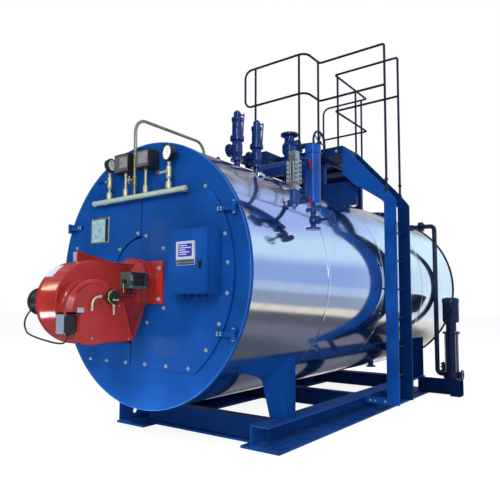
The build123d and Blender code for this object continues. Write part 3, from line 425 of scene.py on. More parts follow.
SERVO_GREY = Plastic("servo_grey", "pale_plastic", (0.14, 0.20, 0.19), 0.35)
GLASS = Plastic("dark_glass", "black_plastic", (0.02, 0.025, 0.03), 0.06)
KEYS = Plastic("key_strip", "pale_plastic", (0.03, 0.045, 0.10), 0.4)
RUBBER = Plastic("cable_sheath", "cable_rubber", (0.016, 0.016, 0.018), 0.5)

NODE_FINISH: dict[Finish, str] = {
    BLUE: "door_left door_right front_ring cabinet_box cabinet_door skid_rails",
    LADDER: "ladder_stringers ladder_rungs",
    BEAMS: "cross_beams",
    SADDLES: "saddle_legs",
    NEAR_BLACK_SHADE: "pump_beam rear_plate",
    SHADED_DECK: "platform_deck platform_landing",
    SHADED_BLUE: "platform_frame flue_outlet",
    NAVY: "safety_valves steam_valve steam_handwheel drain_valve drain_handwheel shell_nozzles column_pipes",
    PUMP: "feed_line feed_pump pump_motor",
    COLUMN_BLUE: "water_column",
    RAIL: "handrail_top handrail_posts handrail_middle",
    JACKET: "shell_jacket",
    GAUGE_METAL: "level_gauge",
    SATIN_PLATE: "name_plate",
    RED: "burner_flange burner_housing burner_intake",
    BLACK: "burner_motor burner_box burner_air_switch switch_left switch_right cabinet_handle",
    RUBBER: "burner_cable",
    SERVO: "burner_servo",
    HEADER: "gauge_header",
    BRASS: "header_fittings gauge_lever_right",
    SIPHON: "siphon_pipe",
    GAUGE_BLACK: "gauge_left gauge_right",
    LEVER_BLUE: "gauge_lever_left",
    CRIMSON: "cock_lever_lower cock_lever_upper",
    DISPLAY: "cabinet_display",
    IRON: "front_tube_plate furnace_tube smoke_tubes rear_tube_plate",
}


def smooth_by_angle(limit: float = 0.6) -> bpy.types.NodeTree:
    """Geometry nodes that shade a piece smooth except over edges sharper than limit radians."""
    found = bpy.data.node_groups.get("smooth_by_angle")
    if found is not None:
        return found
    tree = bpy.data.node_groups.new("smooth_by_angle", "GeometryNodeTree")
    for direction in ("INPUT", "OUTPUT"):
        tree.interface.new_socket("Geometry", in_out=direction, socket_type="NodeSocketGeometry")
    source, target = tree.nodes.new("NodeGroupInput"), tree.nodes.new("NodeGroupOutput")
    angle = tree.nodes.new("GeometryNodeInputMeshEdgeAngle")
    flat = tree.nodes.new("FunctionNodeCompare")
    flat.data_type, flat.operation = "FLOAT", "LESS_EQUAL"
    flat.inputs[1].default_value = limit
    edges = tree.nodes.new("GeometryNodeSetShadeSmooth")
    edges.domain = "EDGE"
    faces = tree.nodes.new("GeometryNodeSetShadeSmooth")
    link = tree.links.new
    link(angle.outputs["Unsigned Angle"], flat.inputs[0])
    link(source.outputs[0], faces.inputs["Geometry"])
    link(faces.outputs[0], edges.inputs["Geometry"])
    link(flat.outputs[0], edges.inputs["Shade Smooth"])
    link(edges.outputs[0], target.inputs[0])
    return tree


def finish_frame_nodes() -> None:
    """Gives every frame node its finish and smooth shading."""
    for finish, names in NODE_FINISH.items():
        for name in names.split():
            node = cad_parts[name]
            node.data.materials.clear()
            node.data.materials.append(finish.material())
            node.modifiers.new("shading", "NODES").node_group = smooth_by_angle()


# Geometry


def unit(vector: Point) -> np.ndarray:
    """Vector of the same direction and length 1."""
    made = np.asarray(vector, float)
    return made / np.linalg.norm(made)


def around(centre: Point, axis: Point, radius: float, count: int, phase: float = 0.0) -> np.ndarray:
    """Evenly spaced points on a circle about an axis, the first turned by phase degrees."""
    along = unit(axis)
    side = unit(np.cross(along, UP if abs(along[2]) < 0.9 else RIGHT))
    angle = np.radians(phase) + np.linspace(0.0, 2.0 * pi, count, endpoint=False)
    circle = np.outer(np.cos(angle), side) + np.outer(np.sin(angle), np.cross(along, side))
    return np.asarray(centre, float) + radius * circle


def rounded(points: Iterable[Point], bend: float, steps: int = 6) -> np.ndarray:
    """Polyline with each inner corner replaced by a quadratic curve that starts bend before it."""
    line = [np.asarray(p, float) for p in points]
    share = np.linspace(0.0, 1.0, steps)[:, None]
    made = [line[0][None]]
    for before, corner, after in zip(line, line[1:], line[2:]):
        start, end = (
            corner + unit(other - corner) * min(bend, 0.45 * np.linalg.norm(other - corner))
            for other in (before, after)
        )
        made.append((1 - share) ** 2 * start + 2 * share * (1 - share) * corner + share**2 * end)
    made.append(line[-1][None])
    return np.concatenate(made)


def hoop(radius: float, half: float, sides: int) -> Outline:
    """Outline of a hoop whose section is round, half wide from its middle and drawn with so many sides."""
    return [(radius + half * cos(a), half * sin(a)) for a in np.radians(np.arange(sides) * 360 / sides)]


def on_shell(offset: float) -> float:
    """Distance from the shell's axis to the jacket, at this offset across."""
    return sqrt(SHELL**2 - offset**2)


class Shape:
    """Closed islands collected in millimetres, then made into one piece."""

    def __init__(self) -> None:
        self.points: list[np.ndarray] = []
        self.faces: list[tuple[int, ...]] = []
        self.count = 0

    def island(self, points: np.ndarray, faces: Iterable[Sequence[int]]) -> "Shape":
        """Adds one closed island, turned outward if its volume comes out negative."""
        faces = [tuple(dict.fromkeys(face)) for face in faces]
        faces = [face for face in faces if len(face) > 2]
        fans = np.array([(f[0], f[i], f[i + 1]) for f in faces for i in range(1, len(f) - 1)])
        a, b, c = (points[fans[:, i]] for i in range(3))
        inward = np.einsum("ij,ij->i", a, np.cross(b, c)).sum() < 0.0
        self.faces += [tuple(self.count + i for i in (f[::-1] if inward else f)) for f in faces]
        self.points.append(points)
        self.count += len(points)
        return self

    def turned(
        self, origin: Point, axis: Point, outline: Outline, segments: int = 32, phase: float = 0.0
    ) -> "Shape":
        """Solid turned about an axis from (radius, distance) pairs, a ring if neither end is on the axis."""
        along, rows, points, start = unit(axis), [], [], 0
        for radius, distance in outline:
            middle = np.asarray(origin, float) + along * distance
            ring = around(middle, axis, radius, segments, phase) if radius > 0.0 else middle[None]
            rows.append([start + i % len(ring) for i in range(segments)])
            points.append(ring)
            start += len(ring)
        if outline[0][0] > 0.0 and outline[-1][0] > 0.0:
            rows.append(rows[0])
        faces = []
        for low, high in zip(rows, rows[1:]):
            faces += [(low[i - 1], low[i], high[i], high[i - 1]) for i in range(segments)]
        return self.island(np.concatenate(points), faces)

    def cap(
        self, origin: Point, axis: Point, steps: Outline, segments: int = 32, phase: float = 0.0
    ) -> "Shape":
        """Solid turned from (radius, distance) pairs and closed flat on the axis at both ends."""
        outline = [(0.0, steps[0][1]), *steps, (0.0, steps[-1][1])]
        return self.turned(origin, axis, outline, segments, phase)

    def plug(self, origin: Point, axis: Point, radius: float, length: float, segments: int = 32) -> "Shape":
        """Plain plug along an axis, six-sided where it has six segments."""
        return self.cap(origin, axis, ((radius, 0.0), (radius, length)), segments)

    def dome(
        self,
        origin: Point,
        axis: Point,
        radius: float,
        shoulder: tuple[float, float],
        top: float,
        segments: int,
    ) -> "Shape":
        """Low round head, given by its foot, its shoulder's (radius, height) and its top."""
        return self.turned(origin, axis, [(0, 0), (radius, 0), shoulder, (0, top)], segments)

    def slab(self, low: Point, high: Point, edge: float = 1.5) -> "Shape":
        """Block between two corners, every edge and corner cut off by edge."""
        lows, highs = np.minimum(low, high).astype(float), np.maximum(low, high).astype(float)
        centre, half = (lows + highs) / 2, (highs - lows) / 2
        edge = min(edge, 0.4 * float(half.min()))
        signs = list(product((-1, 1), repeat=3))
        spans = [half - edge + edge * along for along in np.eye(3)]
        points = centre + np.concatenate([signs * span for span in spans])
        square = ((-1, -1), (1, -1), (1, 1), (-1, 1))
        faces = [(i, i + 8, i + 16) for i in range(8)]
        for axis in range(3):
            first, second = 8 * ((axis + 1) % 3), 8 * ((axis + 2) % 3)
            near, far = (
                [signs.index(tuple(np.roll((along, *pair), axis))) for pair in square] for along in (-1, 1)
            )
            faces += [tuple(i + 8 * axis for i in near), tuple(i + 8 * axis for i in far)]
            faces += [(i + first, j + first, j + second, i + second) for i, j in zip(near, far)]
        outward = []
        for face in faces:
            a, b, c = points[list(face[:3])]
            middle = points[list(face)].mean(axis=0) - centre
            outward.append(face if np.dot(np.cross(b - a, c - a), middle) > 0 else face[::-1])
        return self.island(points, outward)

    def border(self, low: Point, high: Point, wide: float, edge: float) -> "Shape":
        """Four slabs that frame the rectangle between two corners, seen from the front."""
        (left, near, bottom), (right, far, top) = low, high
        self.slab(low, (right, far, bottom + wide), edge).slab((left, near, top - wide), high, edge)
        for x in (left, right - wide):
            self.slab((x, near, bottom + wide), (x + wide, far, top - wide), edge)
        return self

    def prism(self, origin: Point, across: Point, up: Point, outline: Outline, depth: float) -> "Shape":
        """Straight prism of a flat outline, extruded along the cross product of across and up."""
        x, y = unit(across), unit(up)
        flat = np.asarray(origin, float) + np.array([a * x + b * y for a, b in outline])
        count = len(flat)
        points = np.concatenate([flat, flat + np.cross(x, y) * depth])
        sides = [(i, (i + 1) % count, count + (i + 1) % count, count + i) for i in range(count)]
        return self.island(points, [tuple(range(count))[::-1], tuple(range(count, 2 * count)), *sides])

    def ribs(self, centre: Point, axis: Point, radius: float, count: int, size: Point) -> "Shape":
        """Cooling ribs round an axis, as long, thick and tall as size says, their tops at the radius."""
        long, half, tall = size[0], size[1] / 2, size[2]
        for start in around(centre, axis, radius, count):
            side = np.cross(axis, start - centre)
            self.prism(start, axis, side, [(0, -half), (long, -half), (long, half), (0, half)], tall)
        return self

    def plate(self, under: np.ndarray, over: np.ndarray) -> "Shape":
        """Closed plate between two grids of points, each a (rows, columns, 3) array."""
        number = np.arange(under[..., 0].size).reshape(under.shape[:2])
        corners = [number[:-1, :-1], number[:-1, 1:], number[1:, 1:], number[1:, :-1]]
        quads = np.stack(corners, axis=-1).reshape(-1, 4)
        border = np.concatenate([number[0], number[1:, -1], number[-1, -2::-1], number[-2:0:-1, 0]])
        rim = np.stack([border, np.roll(border, -1)], axis=-1)
        sides = np.hstack([rim, rim[:, ::-1] + number.size])
        faces = np.concatenate([quads[:, ::-1], quads + number.size, sides]).tolist()
        return self.island(np.concatenate([under, over]).reshape(-1, 3), faces)

    def tube(self, path: Iterable[Point], radius: float, segments: int = 12) -> "Shape":
        """Round bar along a path, closed with flat ends."""
        line = np.array([np.asarray(p, float) for p in path])
        run = np.gradient(line, axis=0)
        run /= np.linalg.norm(run, axis=1)[:, None]
        side = unit(np.cross(run[0], (0.31, 0.52, 0.79)))
        sides = []
        for step in run:
            side = unit(side - step * side.dot(step))
            sides.append(side)
        frame_x = np.array(sides)[:, None, :]
        frame_y = np.cross(run, np.array(sides))[:, None, :]
        angle = np.linspace(0.0, 2.0 * pi, segments, endpoint=False)[None, :, None]
        points = line[:, None, :] + radius * (np.cos(angle) * frame_x + np.sin(angle) * frame_y)
        faces = [tuple(range(segments))[::-1], tuple(range((len(line) - 1) * segments, len(line) * segments))]
        for row in range(len(line) - 1):
            a, b = row * segments, (row + 1) * segments
            faces += [(a + i, a + (i + 1) % segments, b + (i + 1) % segments, b + i) for i in range(segments)]
        return self.island(points.reshape(-1, 3), faces)

    def bar(self, start: Point, end: Point, radius: float, segments: int = 12) -> "Shape":
        """Straight round bar."""
        return self.tube(np.linspace(start, end, 3), radius, segments)

    def bolt(self, place: Point, direction: Point, radius: float, stud: float = 0.0) -> "Shape":
        """Washer and chamfered hex head, with the end of a stud standing out when stud is given."""
        washer, top = radius * 0.22, radius * 1.05 * 0.84
        self.plug(place, direction, radius * 1.4, washer, 20)
        base = np.asarray(place, float) + unit(direction) * washer
        head = ((radius, 0), (radius, radius * 0.735), (radius * 0.84, top))
        self.cap(base, direction, head, 6, phase=17.0)
        if stud:
            end = top + stud
            self.cap(base, direction, ((radius * 0.5, 0), (radius * 0.5, end - 1.5), (radius * 0.4, end)), 14)
        return self

    def bolts(self, places: Iterable[Point], direction: Point, radius: float, stud: float = 0.0) -> "Shape":
        """The same bolt at several places."""
        for place in places:
            self.bolt(place, direction, radius, stud)
        return self

    def bolt_circle(
        self,
        centre: Point,
        axis: Point,
        circle: float,
        count: int,
        radius: float,
        phase: float = 0.0,
        stud: float = 0.0,
    ) -> "Shape":
        """Evenly spaced bolts on a circle about an axis."""
        return self.bolts(around(centre, axis, circle, count, phase), axis, radius, stud)

    def piece(self, name: str, body: Body, finish: Finish) -> bpy.types.Object:
        """Makes the islands into one object that rides on a body.

        Args:
            name: Name of the object.
            body: Rigid body that it moves with.
            finish: Finish of the whole piece, made into its material.

        Returns:
            The new object, at the origin with its place in its vertices.
        """
        mesh = bpy.data.meshes.new(name)
        points = (np.concatenate(self.points) + (0.0, FRONT, 0.0)) * MM
        mesh.from_pydata(points.tolist(), [], self.faces)
        mesh.materials.append(finish.material())
        made = bpy.data.objects.new(name, mesh)
        bpy.context.scene.collection.objects.link(made)
        made.modifiers.new("shading", "NODES").node_group = smooth_by_angle()
        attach(made, body.value)
        return made


# Front plate and doors


@dataclass(frozen=True)
class Doors:
    """Clamping bolts, strap screws and name plate's trim on the two leaves, and the ring's bolts."""

    arc: Outline = ((841, 1617), (866, 1415), (862, 1205), (793, 991), (676, 806))
    right: Outline = ((55, 667), (282, 667), (506, 667), (236, 1552), (250, 1098), (72, 986), (42, 1662))
    left: Outline = ((-167, 667), (-402, 667), (-613, 667), (-268, 1573), (-52, 1690))
    hinge: float = 932.0  # X of the hinge pins
    rise: float = 435.0  # how far the hinges lie above and below the axis
    rim: float = 1046.0  # radius of the front plate's bead

    def build(self) -> None:
        """Makes the pieces of both leaves and the ring."""
        rises = (-self.rise, self.rise)
        for side, loose, body in ((1, self.right, Body.DOOR_RIGHT), (-1, self.left, Body.DOOR_LEFT)):
            places = [(side * x, DOOR, z) for x, z in self.arc] + [(x, DOOR, z) for x, z in loose]
            Shape().bolts(places, FORWARD, 10.5, stud=6.0).piece(f"{body.value}_bolts", body, ZINC)
            screws = Shape()
            for rise, offset, x in product(rises, (-8.0, 8.0), (787, 815)):
                screws.bolt((side * x, DOOR - 16, AXIS + rise + offset), FORWARD, 5.5)
            screws.piece(f"{body.value}_strap_screws", body, ZINC)
        caps = Shape()
        for side, rise, (way, height) in product((-1, 1), rises, ((UP, 38.4), (DOWN, -37.7))):
            place = (side * self.hinge, -42, AXIS + rise + height)
            caps.cap(place, way, ((11, -1), (11, 4), (8, 7)), 24)
        caps.piece("hinge_pin_caps", Body.BOILER, ZINC)
        ring = Shape().bolts([(637, 0, 1984), (-637, 0, 1984)], FORWARD, 11.0)
        ring.piece("front_ring_bolts", Body.BOILER, ZINC)
        # The bead's brighter blue is a painted highlight along the front plate's rim.
        bead = Shape().turned((0, 3, AXIS), BACKWARD, hoop(self.rim, 4.5, 8), 240)
        bead.piece("front_plate_bead", Body.BOILER, EDGE)
        edging = Shape().border((-652, DOOR - 5, 1640), (-413, DOOR - 3, 1858), 12, 0.8)
        edging.piece("name_plate_frame", Body.DOOR_LEFT, STEEL)
        dark = Shape().slab((-462, DOOR - 4.2, 1653), (-426, DOOR - 3, 1845), 0.4)
        dark.piece("name_plate_strip", Body.DOOR_LEFT, GAUGE_BLACK)
        rivets = Shape()
        for x, z in product((-646, -419), (1646, 1852)):
            rivets.dome((x, DOOR - 5, z), FORWARD, 4, (3.2, 1.4), 2.2, 14)
        rivets.piece("name_plate_rivets", Body.DOOR_LEFT, ZINC)


# Control cabinet


@dataclass(frozen=True)
class Cabinet:
    """Screen, keys, lamps, door edge and glands of the control cabinet."""

    face: float = DOOR - 159  # depth of the cabinet door's face
    rows: tuple[float, ...] = (640, 676, 622, 660, 632)  # X at which each bar on the screen ends

    def build(self) -> None:
        """Makes the pieces on the cabinet's door and sides."""
        face = self.face
        screen = Shape().slab((557.5, face - 8.5, 1456.5), (685.5, face - 6.5, 1545.5), 0.4)
        screen.piece("cabinet_screen", Body.CABINET_DOOR, SCREEN)
        bars = Shape()
        for row, end in enumerate(self.rows):
            z = 1533 - 15 * row
            bars.slab((564, face - 9.2, z - 3), (end, face - 8.4, z + 3), 0.3)
        bars.piece("cabinet_screen_rows", Body.CABINET_DOOR, GLOW)
        strip = Shape().slab((538, face - 7.5, 1399), (705, face - 5.5, 1434), 0.5)
        strip.piece("cabinet_key_strip", Body.CABINET_DOOR, KEYS)
        keys, lamps, glands = Shape(), Shape(), Shape()
        for number in range(7):
            keys.dome((552 + 23 * number, face - 7.5, 1416), FORWARD, 7, (6.4, 2.4), 3, 20)
        keys.piece("cabinet_keys", Body.CABINET_DOOR, SERVO_GREY)
        for x in (694, 700):
            lamps.dome((x, face - 10, 1551), FORWARD, 2.2, (1.6, 1), 1.3, 12)
        lamps.piece("cabinet_lamps", Body.CABINET_DOOR, GLOW)
        lip = Shape().border((452, face - 2.2, 1206), (805, face, 1644), 6, 1.0)
        lip.piece("cabinet_door_bead", Body.CABINET_DOOR, BLUE)
        # The glands take the darker blue, which is painted shade under the cabinet.
        for x in (520, 590, 660, 730):
            glands.cap((x, -90, 1200), DOWN, ((17, 0), (17, 6), (13, 6), (13, 18), (9, 24)), 24)
            glands.plug((x, -90, 1182), DOWN, 15, 9, 6)
        glands.piece("cabinet_glands", Body.DOOR_RIGHT, SHADED_BLUE)


# Gauge header


@dataclass(frozen=True)
class Dial:
    """Printed face, needle and bezel of one round gauge, with plain numbers."""

    name: str
    centre: tuple[float, float, float]
    turn: float  # degrees by which it faces away from the front
    radius: float
    depth: float
    reading: float  # share of the scale at which the needle stands
    marks: int = 8
    step: int = 2

    def build(self) -> None:
        """Makes the face, marks, needle and glass ring in the gauge's own plane."""
        angle = radians(self.turn)
        out = np.array((-sin(angle), -cos(angle), 0.0))
        up = np.array(UP)
        across = np.cross(up, out)
        inner = self.radius - 8
        rim = np.asarray(self.centre) + out * self.depth / 2
        face, top = rim - out * 6, rim - out * 4.8

        def ray(share: float) -> np.ndarray:
            """Direction of a share of the scale, which runs clockwise from lower left to lower right."""
            bearing = radians(225.0 - 270.0 * share)
            return cos(bearing) * across + sin(bearing) * up

        plate = Shape().plug(face, out, inner - 0.6, 1.2, 48)
        plate.piece(f"{self.name}_face", Body.BOILER, DIAL)
        ink = Shape()
        fine = self.marks * 5
        for number in range(fine + 1):
            mark = ray(number / fine)
            length, wide = (inner * 0.16, 1.3) if number % 5 == 0 else (inner * 0.08, 0.6)
            start = top + mark * (inner * 0.92 - length)
            line = [(0, -wide), (length, -wide), (length, wide), (0, wide)]
            ink.prism(start, mark, np.cross(out, mark), line, 0.5)
        for number in range(0, self.marks + 1, 2):
            spot = top + ray(number / self.marks) * inner * 0.56
            points, faces = letters(str(number * self.step), inner * 0.26)
            placed = spot + points[:, :1] * across + points[:, 1:2] * up + (points[:, 2:3] + 0.3) * out
            ink.island(placed, faces)
        hand = ray(self.reading)
        needle = [(-inner * 0.2, -2.2), (inner * 0.78, -0.5), (inner * 0.78, 0.5), (-inner * 0.2, 2.2)]
        ink.prism(top + out * 0.8, hand, np.cross(out, hand), needle, 0.8)
        ink.dome(top, out, 4, (3.4, 2.6), 2.8, 20)
        ink.piece(f"{self.name}_marks", Body.BOILER, GAUGE_BLACK)
        ring = [(inner - 1, 0), (self.radius - 0.5, 0), (self.radius - 1.5, 2.2), (inner + 1, 2.2)]
        Shape().turned(rim, out, ring, 48).piece(f"{self.name}_bezel", Body.BOILER, GAUGE_BLACK)


def letters(text: str, size: float) -> tuple[np.ndarray, list[tuple[int, ...]]]:
    """Vertices in millimetres and faces of a plain number, centred on its own origin.

    Args:
        text: The characters.
        size: Height of the type in millimetres.

    Returns:
        Array of vertices with X along the line and Z out of it, and the faces.
    """
    curve = bpy.data.curves.new("letters", "FONT")
    curve.body, curve.size, curve.extrude = text, 1.0, 0.02
    curve.align_x, curve.align_y, curve.resolution_u = "CENTER", "CENTER", 3
    holder = bpy.data.objects.new("letters", curve)
    bpy.context.scene.collection.objects.link(holder)
    bpy.context.view_layer.update()
    mesh = bpy.data.meshes.new_from_object(holder.evaluated_get(bpy.context.evaluated_depsgraph_get()))
    work = bmesh.new()
    work.from_mesh(mesh)
    bmesh.ops.remove_doubles(work, verts=work.verts, dist=1e-5)
    points = np.array([v.co[:] for v in work.verts])
    faces = [tuple(v.index for v in face.verts) for face in work.faces]
    work.free()
    bpy.data.meshes.remove(mesh)
    bpy.data.objects.remove(holder)
    return points * (size, size, size * 0.6), faces


@dataclass(frozen=True)
class Header:
    """Nuts, unions, switch covers and gauges along the front header."""

    y: float = -70.0  # depth of the header's axis
    height: float = 1975.0
    left: float = -358.0
    right: float = 331.0
    hexagon: Outline = ((17.5, 0), (19.5, 3), (19.5, 17), (17.5, 20))
    small: Outline = ((13, 0), (14.5, 2), (14.5, 13), (13, 15))

    def build(self) -> None:
        """Makes the fittings, the two dials and the two switches' covers."""
        y, height = self.y, self.height
        Dial("gauge_left", (self.left, y, height + 303), -100, 55, 44, 0.42).build()
        Dial("gauge_right", (self.right, y, height + 292), 10, 64, 50, 0.63).build()
        nuts = Shape()
        for x, z in ((self.left, 2130), (self.right, 2118)):
            for rise, steps in ((-46, self.hexagon), (26, self.hexagon), (62, self.small)):
                nuts.cap((x, y, z + rise), UP, steps, 6)
        for x in (-156, 78):
            nuts.cap((x, y, height + 20), UP, ((19, 0), (19, 50), (15, 58)), 24)
            nuts.cap((x, y, height + 190), UP, self.small, 6).plug((x, y, height + 150), UP, 12, 6, 24)
        for x in (self.left, self.right):
            nuts.cap((x, y, height + 20), UP, ((22, 0), (22, 44), (17, 54)), 24)
        for z in (2062, 2126):
            nuts.cap((-50, y, z), UP, self.small, 6)
        for x, way in ((-560, RIGHT), (508, LEFT)):
            nuts.cap((x, y, height), way, ((16, -3), (21.5, 1), (21.5, 16)))
        nuts.piece("header_nuts", Body.BOILER, BRASS)
        covers, windows, knobs = Shape(), Shape(), Shape()
        covers.slab((-258, y - 35, height + 218), (-101, y - 31, height + 350), 2.5)
        covers.slab((16, y - 53, height + 216), (154, y - 49, height + 340), 2.5)
        covers.piece("switch_covers", Body.BOILER, COVER)
        windows.slab((-196, y - 36.5, height + 246), (-108, y - 34, height + 330), 1.5)
        windows.slab((46, y - 54.5, height + 240), (148, y - 52, height + 330), 1.5)
        windows.piece("switch_windows", Body.BOILER, BRUSHED)
        for x, rise in ((-240, 359), (-118, 359), (38, 341), (134, 341)):
            knobs.cap((x, y, height + rise), UP, ((11, 0), (11, 7), (8, 10)), 24)
        knobs.piece("switch_knobs", Body.BOILER, BLACK)
        for x, z, body, finish in (
            (self.left, 2130, Body.LEVER_LEFT, LEVER_BLUE), (self.right, 2118, Body.LEVER_RIGHT, CRIMSON),
        ):
            grip = Shape().slab((x - 97, y - 37, z - 9), (x - 66, y - 33.6, z + 9), 1.5)
            grip.piece(f"{body.value}_grip", body, finish)
        cross = Shape().bar((-80, y - 57, 2100), (-20, y - 57, 2100), 4.5)
        cross.bar((-50, y - 57, 2070), (-50, y - 57, 2130), 4.5)
        cross.cap((-50, y - 62, 2100), FORWARD, ((9, -2), (9, 4), (6, 6)), 20)
        cross.piece("needle_valve_handle", Body.BOILER, BRASS)


# Burner


@dataclass(frozen=True)
class Burner:
    """Beads, covers, rods and small fittings on the forced-draught burner."""

    face: float = 220.0  # X of the air intake's outer face
    drum: tuple[float, float] = (-605.0, 1075.0)  # depth and height of the drum's axis
    motor: tuple[float, float] = (-650.0, 1145.0)  # of the motor's axis
    switch: tuple[float, float] = (-490.0, 1175.0)  # of the air switch's axis
    ridge: Outline = ((-212, -36), (-226, 10), (-229, 60), (-212, 122), (-170, 184), (-108, 226), (-70, 240))
    crescent: Outline = ((-160, 128), (-140, 160), (-88, 192), (-20, 208), (51, 197), (110, 168), (140, 140))

    def lip(self, shape: Shape, arc: Outline, x: float, wide: float, thick: float) -> None:
        """Adds one crescent-shaped lip that follows an arc about the drum's centre."""
        outer = np.array(arc, float)
        taper = np.sin(np.linspace(0.12, pi - 0.12, len(outer)))[:, None]
        inner = outer * (1.0 - taper * wide / np.linalg.norm(outer, axis=1)[:, None])
        outline = np.concatenate([outer, inner[::-1]])
        shape.prism((x, *self.drum), BACKWARD, UP, outline, thick)

    def red_pieces(self) -> None:
        """Pressed lips, seams and the throat's collar."""
        shape = Shape()
        self.lip(shape, self.ridge, 176.0, 15.0, 12.0)
        self.lip(shape, self.crescent, 208.0, 13.0, 16.0)
        shape.slab((214, -665, 868), (225, -655, 1141), 2.5)
        shape.tube([(221, -389, 1143), (221, -345, 1010), (221, -300, 870)], 4.5)
        shape.tube([(96, -79, 1097), (99, -130, 985), (99, -193, 855)], 5.0)
        shape.tube([(98, -545, 1427), (98, -400, 1424), (98, -240, 1421), (98, -90, 1417)], 5.0)
        for end, radius in ((45, 190), (98, 189)):
            top = radius + 1.5
            collar = [(186, end - 5), (radius, end - 4), (top, end), (radius, end + 4), (186, end + 5)]
            shape.turned((0, -41, 1290), FORWARD, collar, 64)
        shape.slab((-250, -46, 1447), (250, -40, 1456), 2.0)
        for x in (244, -253):
            shape.slab((x, -46, 1126), (x + 9, -40, 1455), 2.0)
        shape.piece("burner_beads", Body.DOOR_RIGHT, RED)

    def bolts(self) -> None:
        """Flange bolts, cover screws, drum screws and air switch screws."""
        shape = Shape()
        shape.bolts([(x, -41, z) for x, z in product((-215, 215), (1163, 1398))], FORWARD, 13.0, stud=8.0)
        for angle in np.radians((112.5, 157.5, 247.5)):
            shape.bolt((193, self.drum[0] + 207 * cos(angle), self.drum[1] + 207 * sin(angle)), RIGHT, 4.5)
        cover = ((-640, 1120), (-640, 900), (-330, 880), (-420, 1115))
        shape.bolts([(self.face, y, z) for y, z in cover], RIGHT, 5.0)
        shape.bolts(product((187,), (-824, -739), (938, 1057)), RIGHT, 3.6)
        shape.bolts(product((213,), (-311, -180), (1248, 1350)), RIGHT, 3.6)
        for angle in np.radians(np.arange(20, 380, 60)):
            shape.bolt((242, self.switch[0] + 49 * cos(angle), self.switch[1] + 49 * sin(angle)), RIGHT, 3.0)
        shape.piece("burner_bolts", Body.DOOR_RIGHT, ZINC)

    def pale_pieces(self) -> None:
        """Bare plates, the terminal box's cover and bracket, and the air switch's band."""
        plates, grey, band = Shape(), Shape(), Shape()
        plates.slab((self.face - 0.5, -758, 1071), (self.face + 2, -708, 1103), 0.7)
        plates.slab((-168, -531, 1436), (-129, -528, 1503), 1.0)
        plates.piece("burner_plain_plates", Body.DOOR_RIGHT, PLAIN)
        grey.slab((103, -833, 935), (184, -827, 1060), 2.0).slab((101, -736, 940), (176, -728, 1056), 2.0)
        grey.piece("terminal_box_cover", Body.DOOR_RIGHT, BOX_GREY)
        self.shoulder().piece("shoulder_plate", Body.DOOR_RIGHT, PALE)
        rim = [(46.2, 24), (47.6, 25), (47.6, 33), (46.2, 34)]
        band.turned((self.face, *self.switch), RIGHT, rim, 48)
        band.slab((262, -512, 1150), (266.4, -462, 1163), 0.8)
        band.piece("air_switch_band", Body.DOOR_RIGHT, BAND)

    def shoulder(self) -> Shape:
        """Bare plate bent over the volute's rounded shoulder.

        Along the plate the angle a goes round the volute's axis from the top, forward. Across it,
        the run s is flat while s is negative, then follows the volute's rounded corner: with
        b = s / 169.5 and r the layer's radius, the distance from the axis is 121.6 + r cos b, and
        X is -82 - s where flat or -82 - r sin b where rounded. The layers are 2.3 mm apart.
        """
        a, run = np.meshgrid(np.radians(np.linspace(31, 54, 8)), np.linspace(-60.0, 34.0, 8), indexing="ij")
        bend = np.maximum(run, 0.0) / 169.5
        layers = []
        for radius in (169.0, 171.3):
            reach = 121.6 + radius * np.cos(bend)
            x = -82.0 - np.minimum(run, 0.0) - radius * np.sin(bend)
            layers.append(np.stack([x, -551.0 - reach * np.sin(a), 1139.0 + reach * np.cos(a)], axis=-1))
        return Shape().plate(*layers)

    def black_pieces(self) -> None:
        """Motor ribs and cowl, servo cover, linkage rods and hoses."""
        shape = Shape().ribs((-372, *self.motor), RIGHT, 91, 28, (112, 3.2, 8))
        cowl = [(93, 0), (98, 0), (98, 26), (90, 40), (60, 40), (60, 36), (86, 36), (92, 24), (92, 0)]
        shape.turned((-362, *self.motor), LEFT, cowl, 48)
        for radius in (30, 48):
            ring = [(radius - 3, 0), (radius + 3, 0), (radius + 3, 3), (radius - 3, 3)]
            shape.turned((-400, *self.motor), LEFT, ring, 40)
        shape.slab((-345, -735, 1088), (-280, -712, 1150), 4.0)
        shape.piece("motor_ribs", Body.DOOR_RIGHT, BLACK)
        servo = Shape()
        servo.slab((213, -300, 1262), (219, -190, 1340), 2.0).slab((213, -316, 1344), (217, -175, 1355), 1.5)
        for y in range(-292, -182, 22):
            servo.slab((219, y, 1268), (222, y + 12, 1334), 1.0)
        servo.cap((166, -331, 1284), FORWARD, ((26, 0), (24, 7), (9, 7), (9, 14)))
        servo.slab((150, -350, 1198), (178, -225, 1206), 2.0).slab((160, -292, 1204), (170, -280, 1242), 2.0)
        rod = [(206, -158, 1343), (214, -146, 1270), (212, -146, 1180), (200, -175, 1100), (176, -240, 1022)]
        hose = [(190, -205, 1238), (196, -200, 1160), (186, -225, 1090), (170, -262, 1024)]
        servo.tube(rounded(rod, 60), 5.0).tube(rounded(hose, 50), 3.6)
        servo.plug((176, -240, 1014), UP, 9, 14, 16)
        servo.slab((206, -164, 1330), (216, -148, 1352), 2.0)
        servo.tube([(240, -442, 1177), (238, -360, 1176), (236, -293, 1177)], 5.0)
        servo.tube([(240, -540, 1178), (240, -585, 1178)], 9.5)
        servo.cap((39, -112, 1470), (0.21, 0, 0.98), ((9, 0), (9, 5), (5, 8)), 20)
        servo.slab((224, -516, 1160), (232, -508, 1192), 2.0)
        servo.cap((265, *self.switch), RIGHT, ((17, -2), (17, 6), (12, 10)), 28)
        servo.piece("burner_controls", Body.DOOR_RIGHT, BLACK)
        inserts = Shape()
        for y in (-300, -262, -224):
            inserts.cap((219, y, 1300), RIGHT, ((6, 0), (5, 3)), 16)
        inserts.slab((213, -318, 1296), (215, -300, 1336), 0.8)
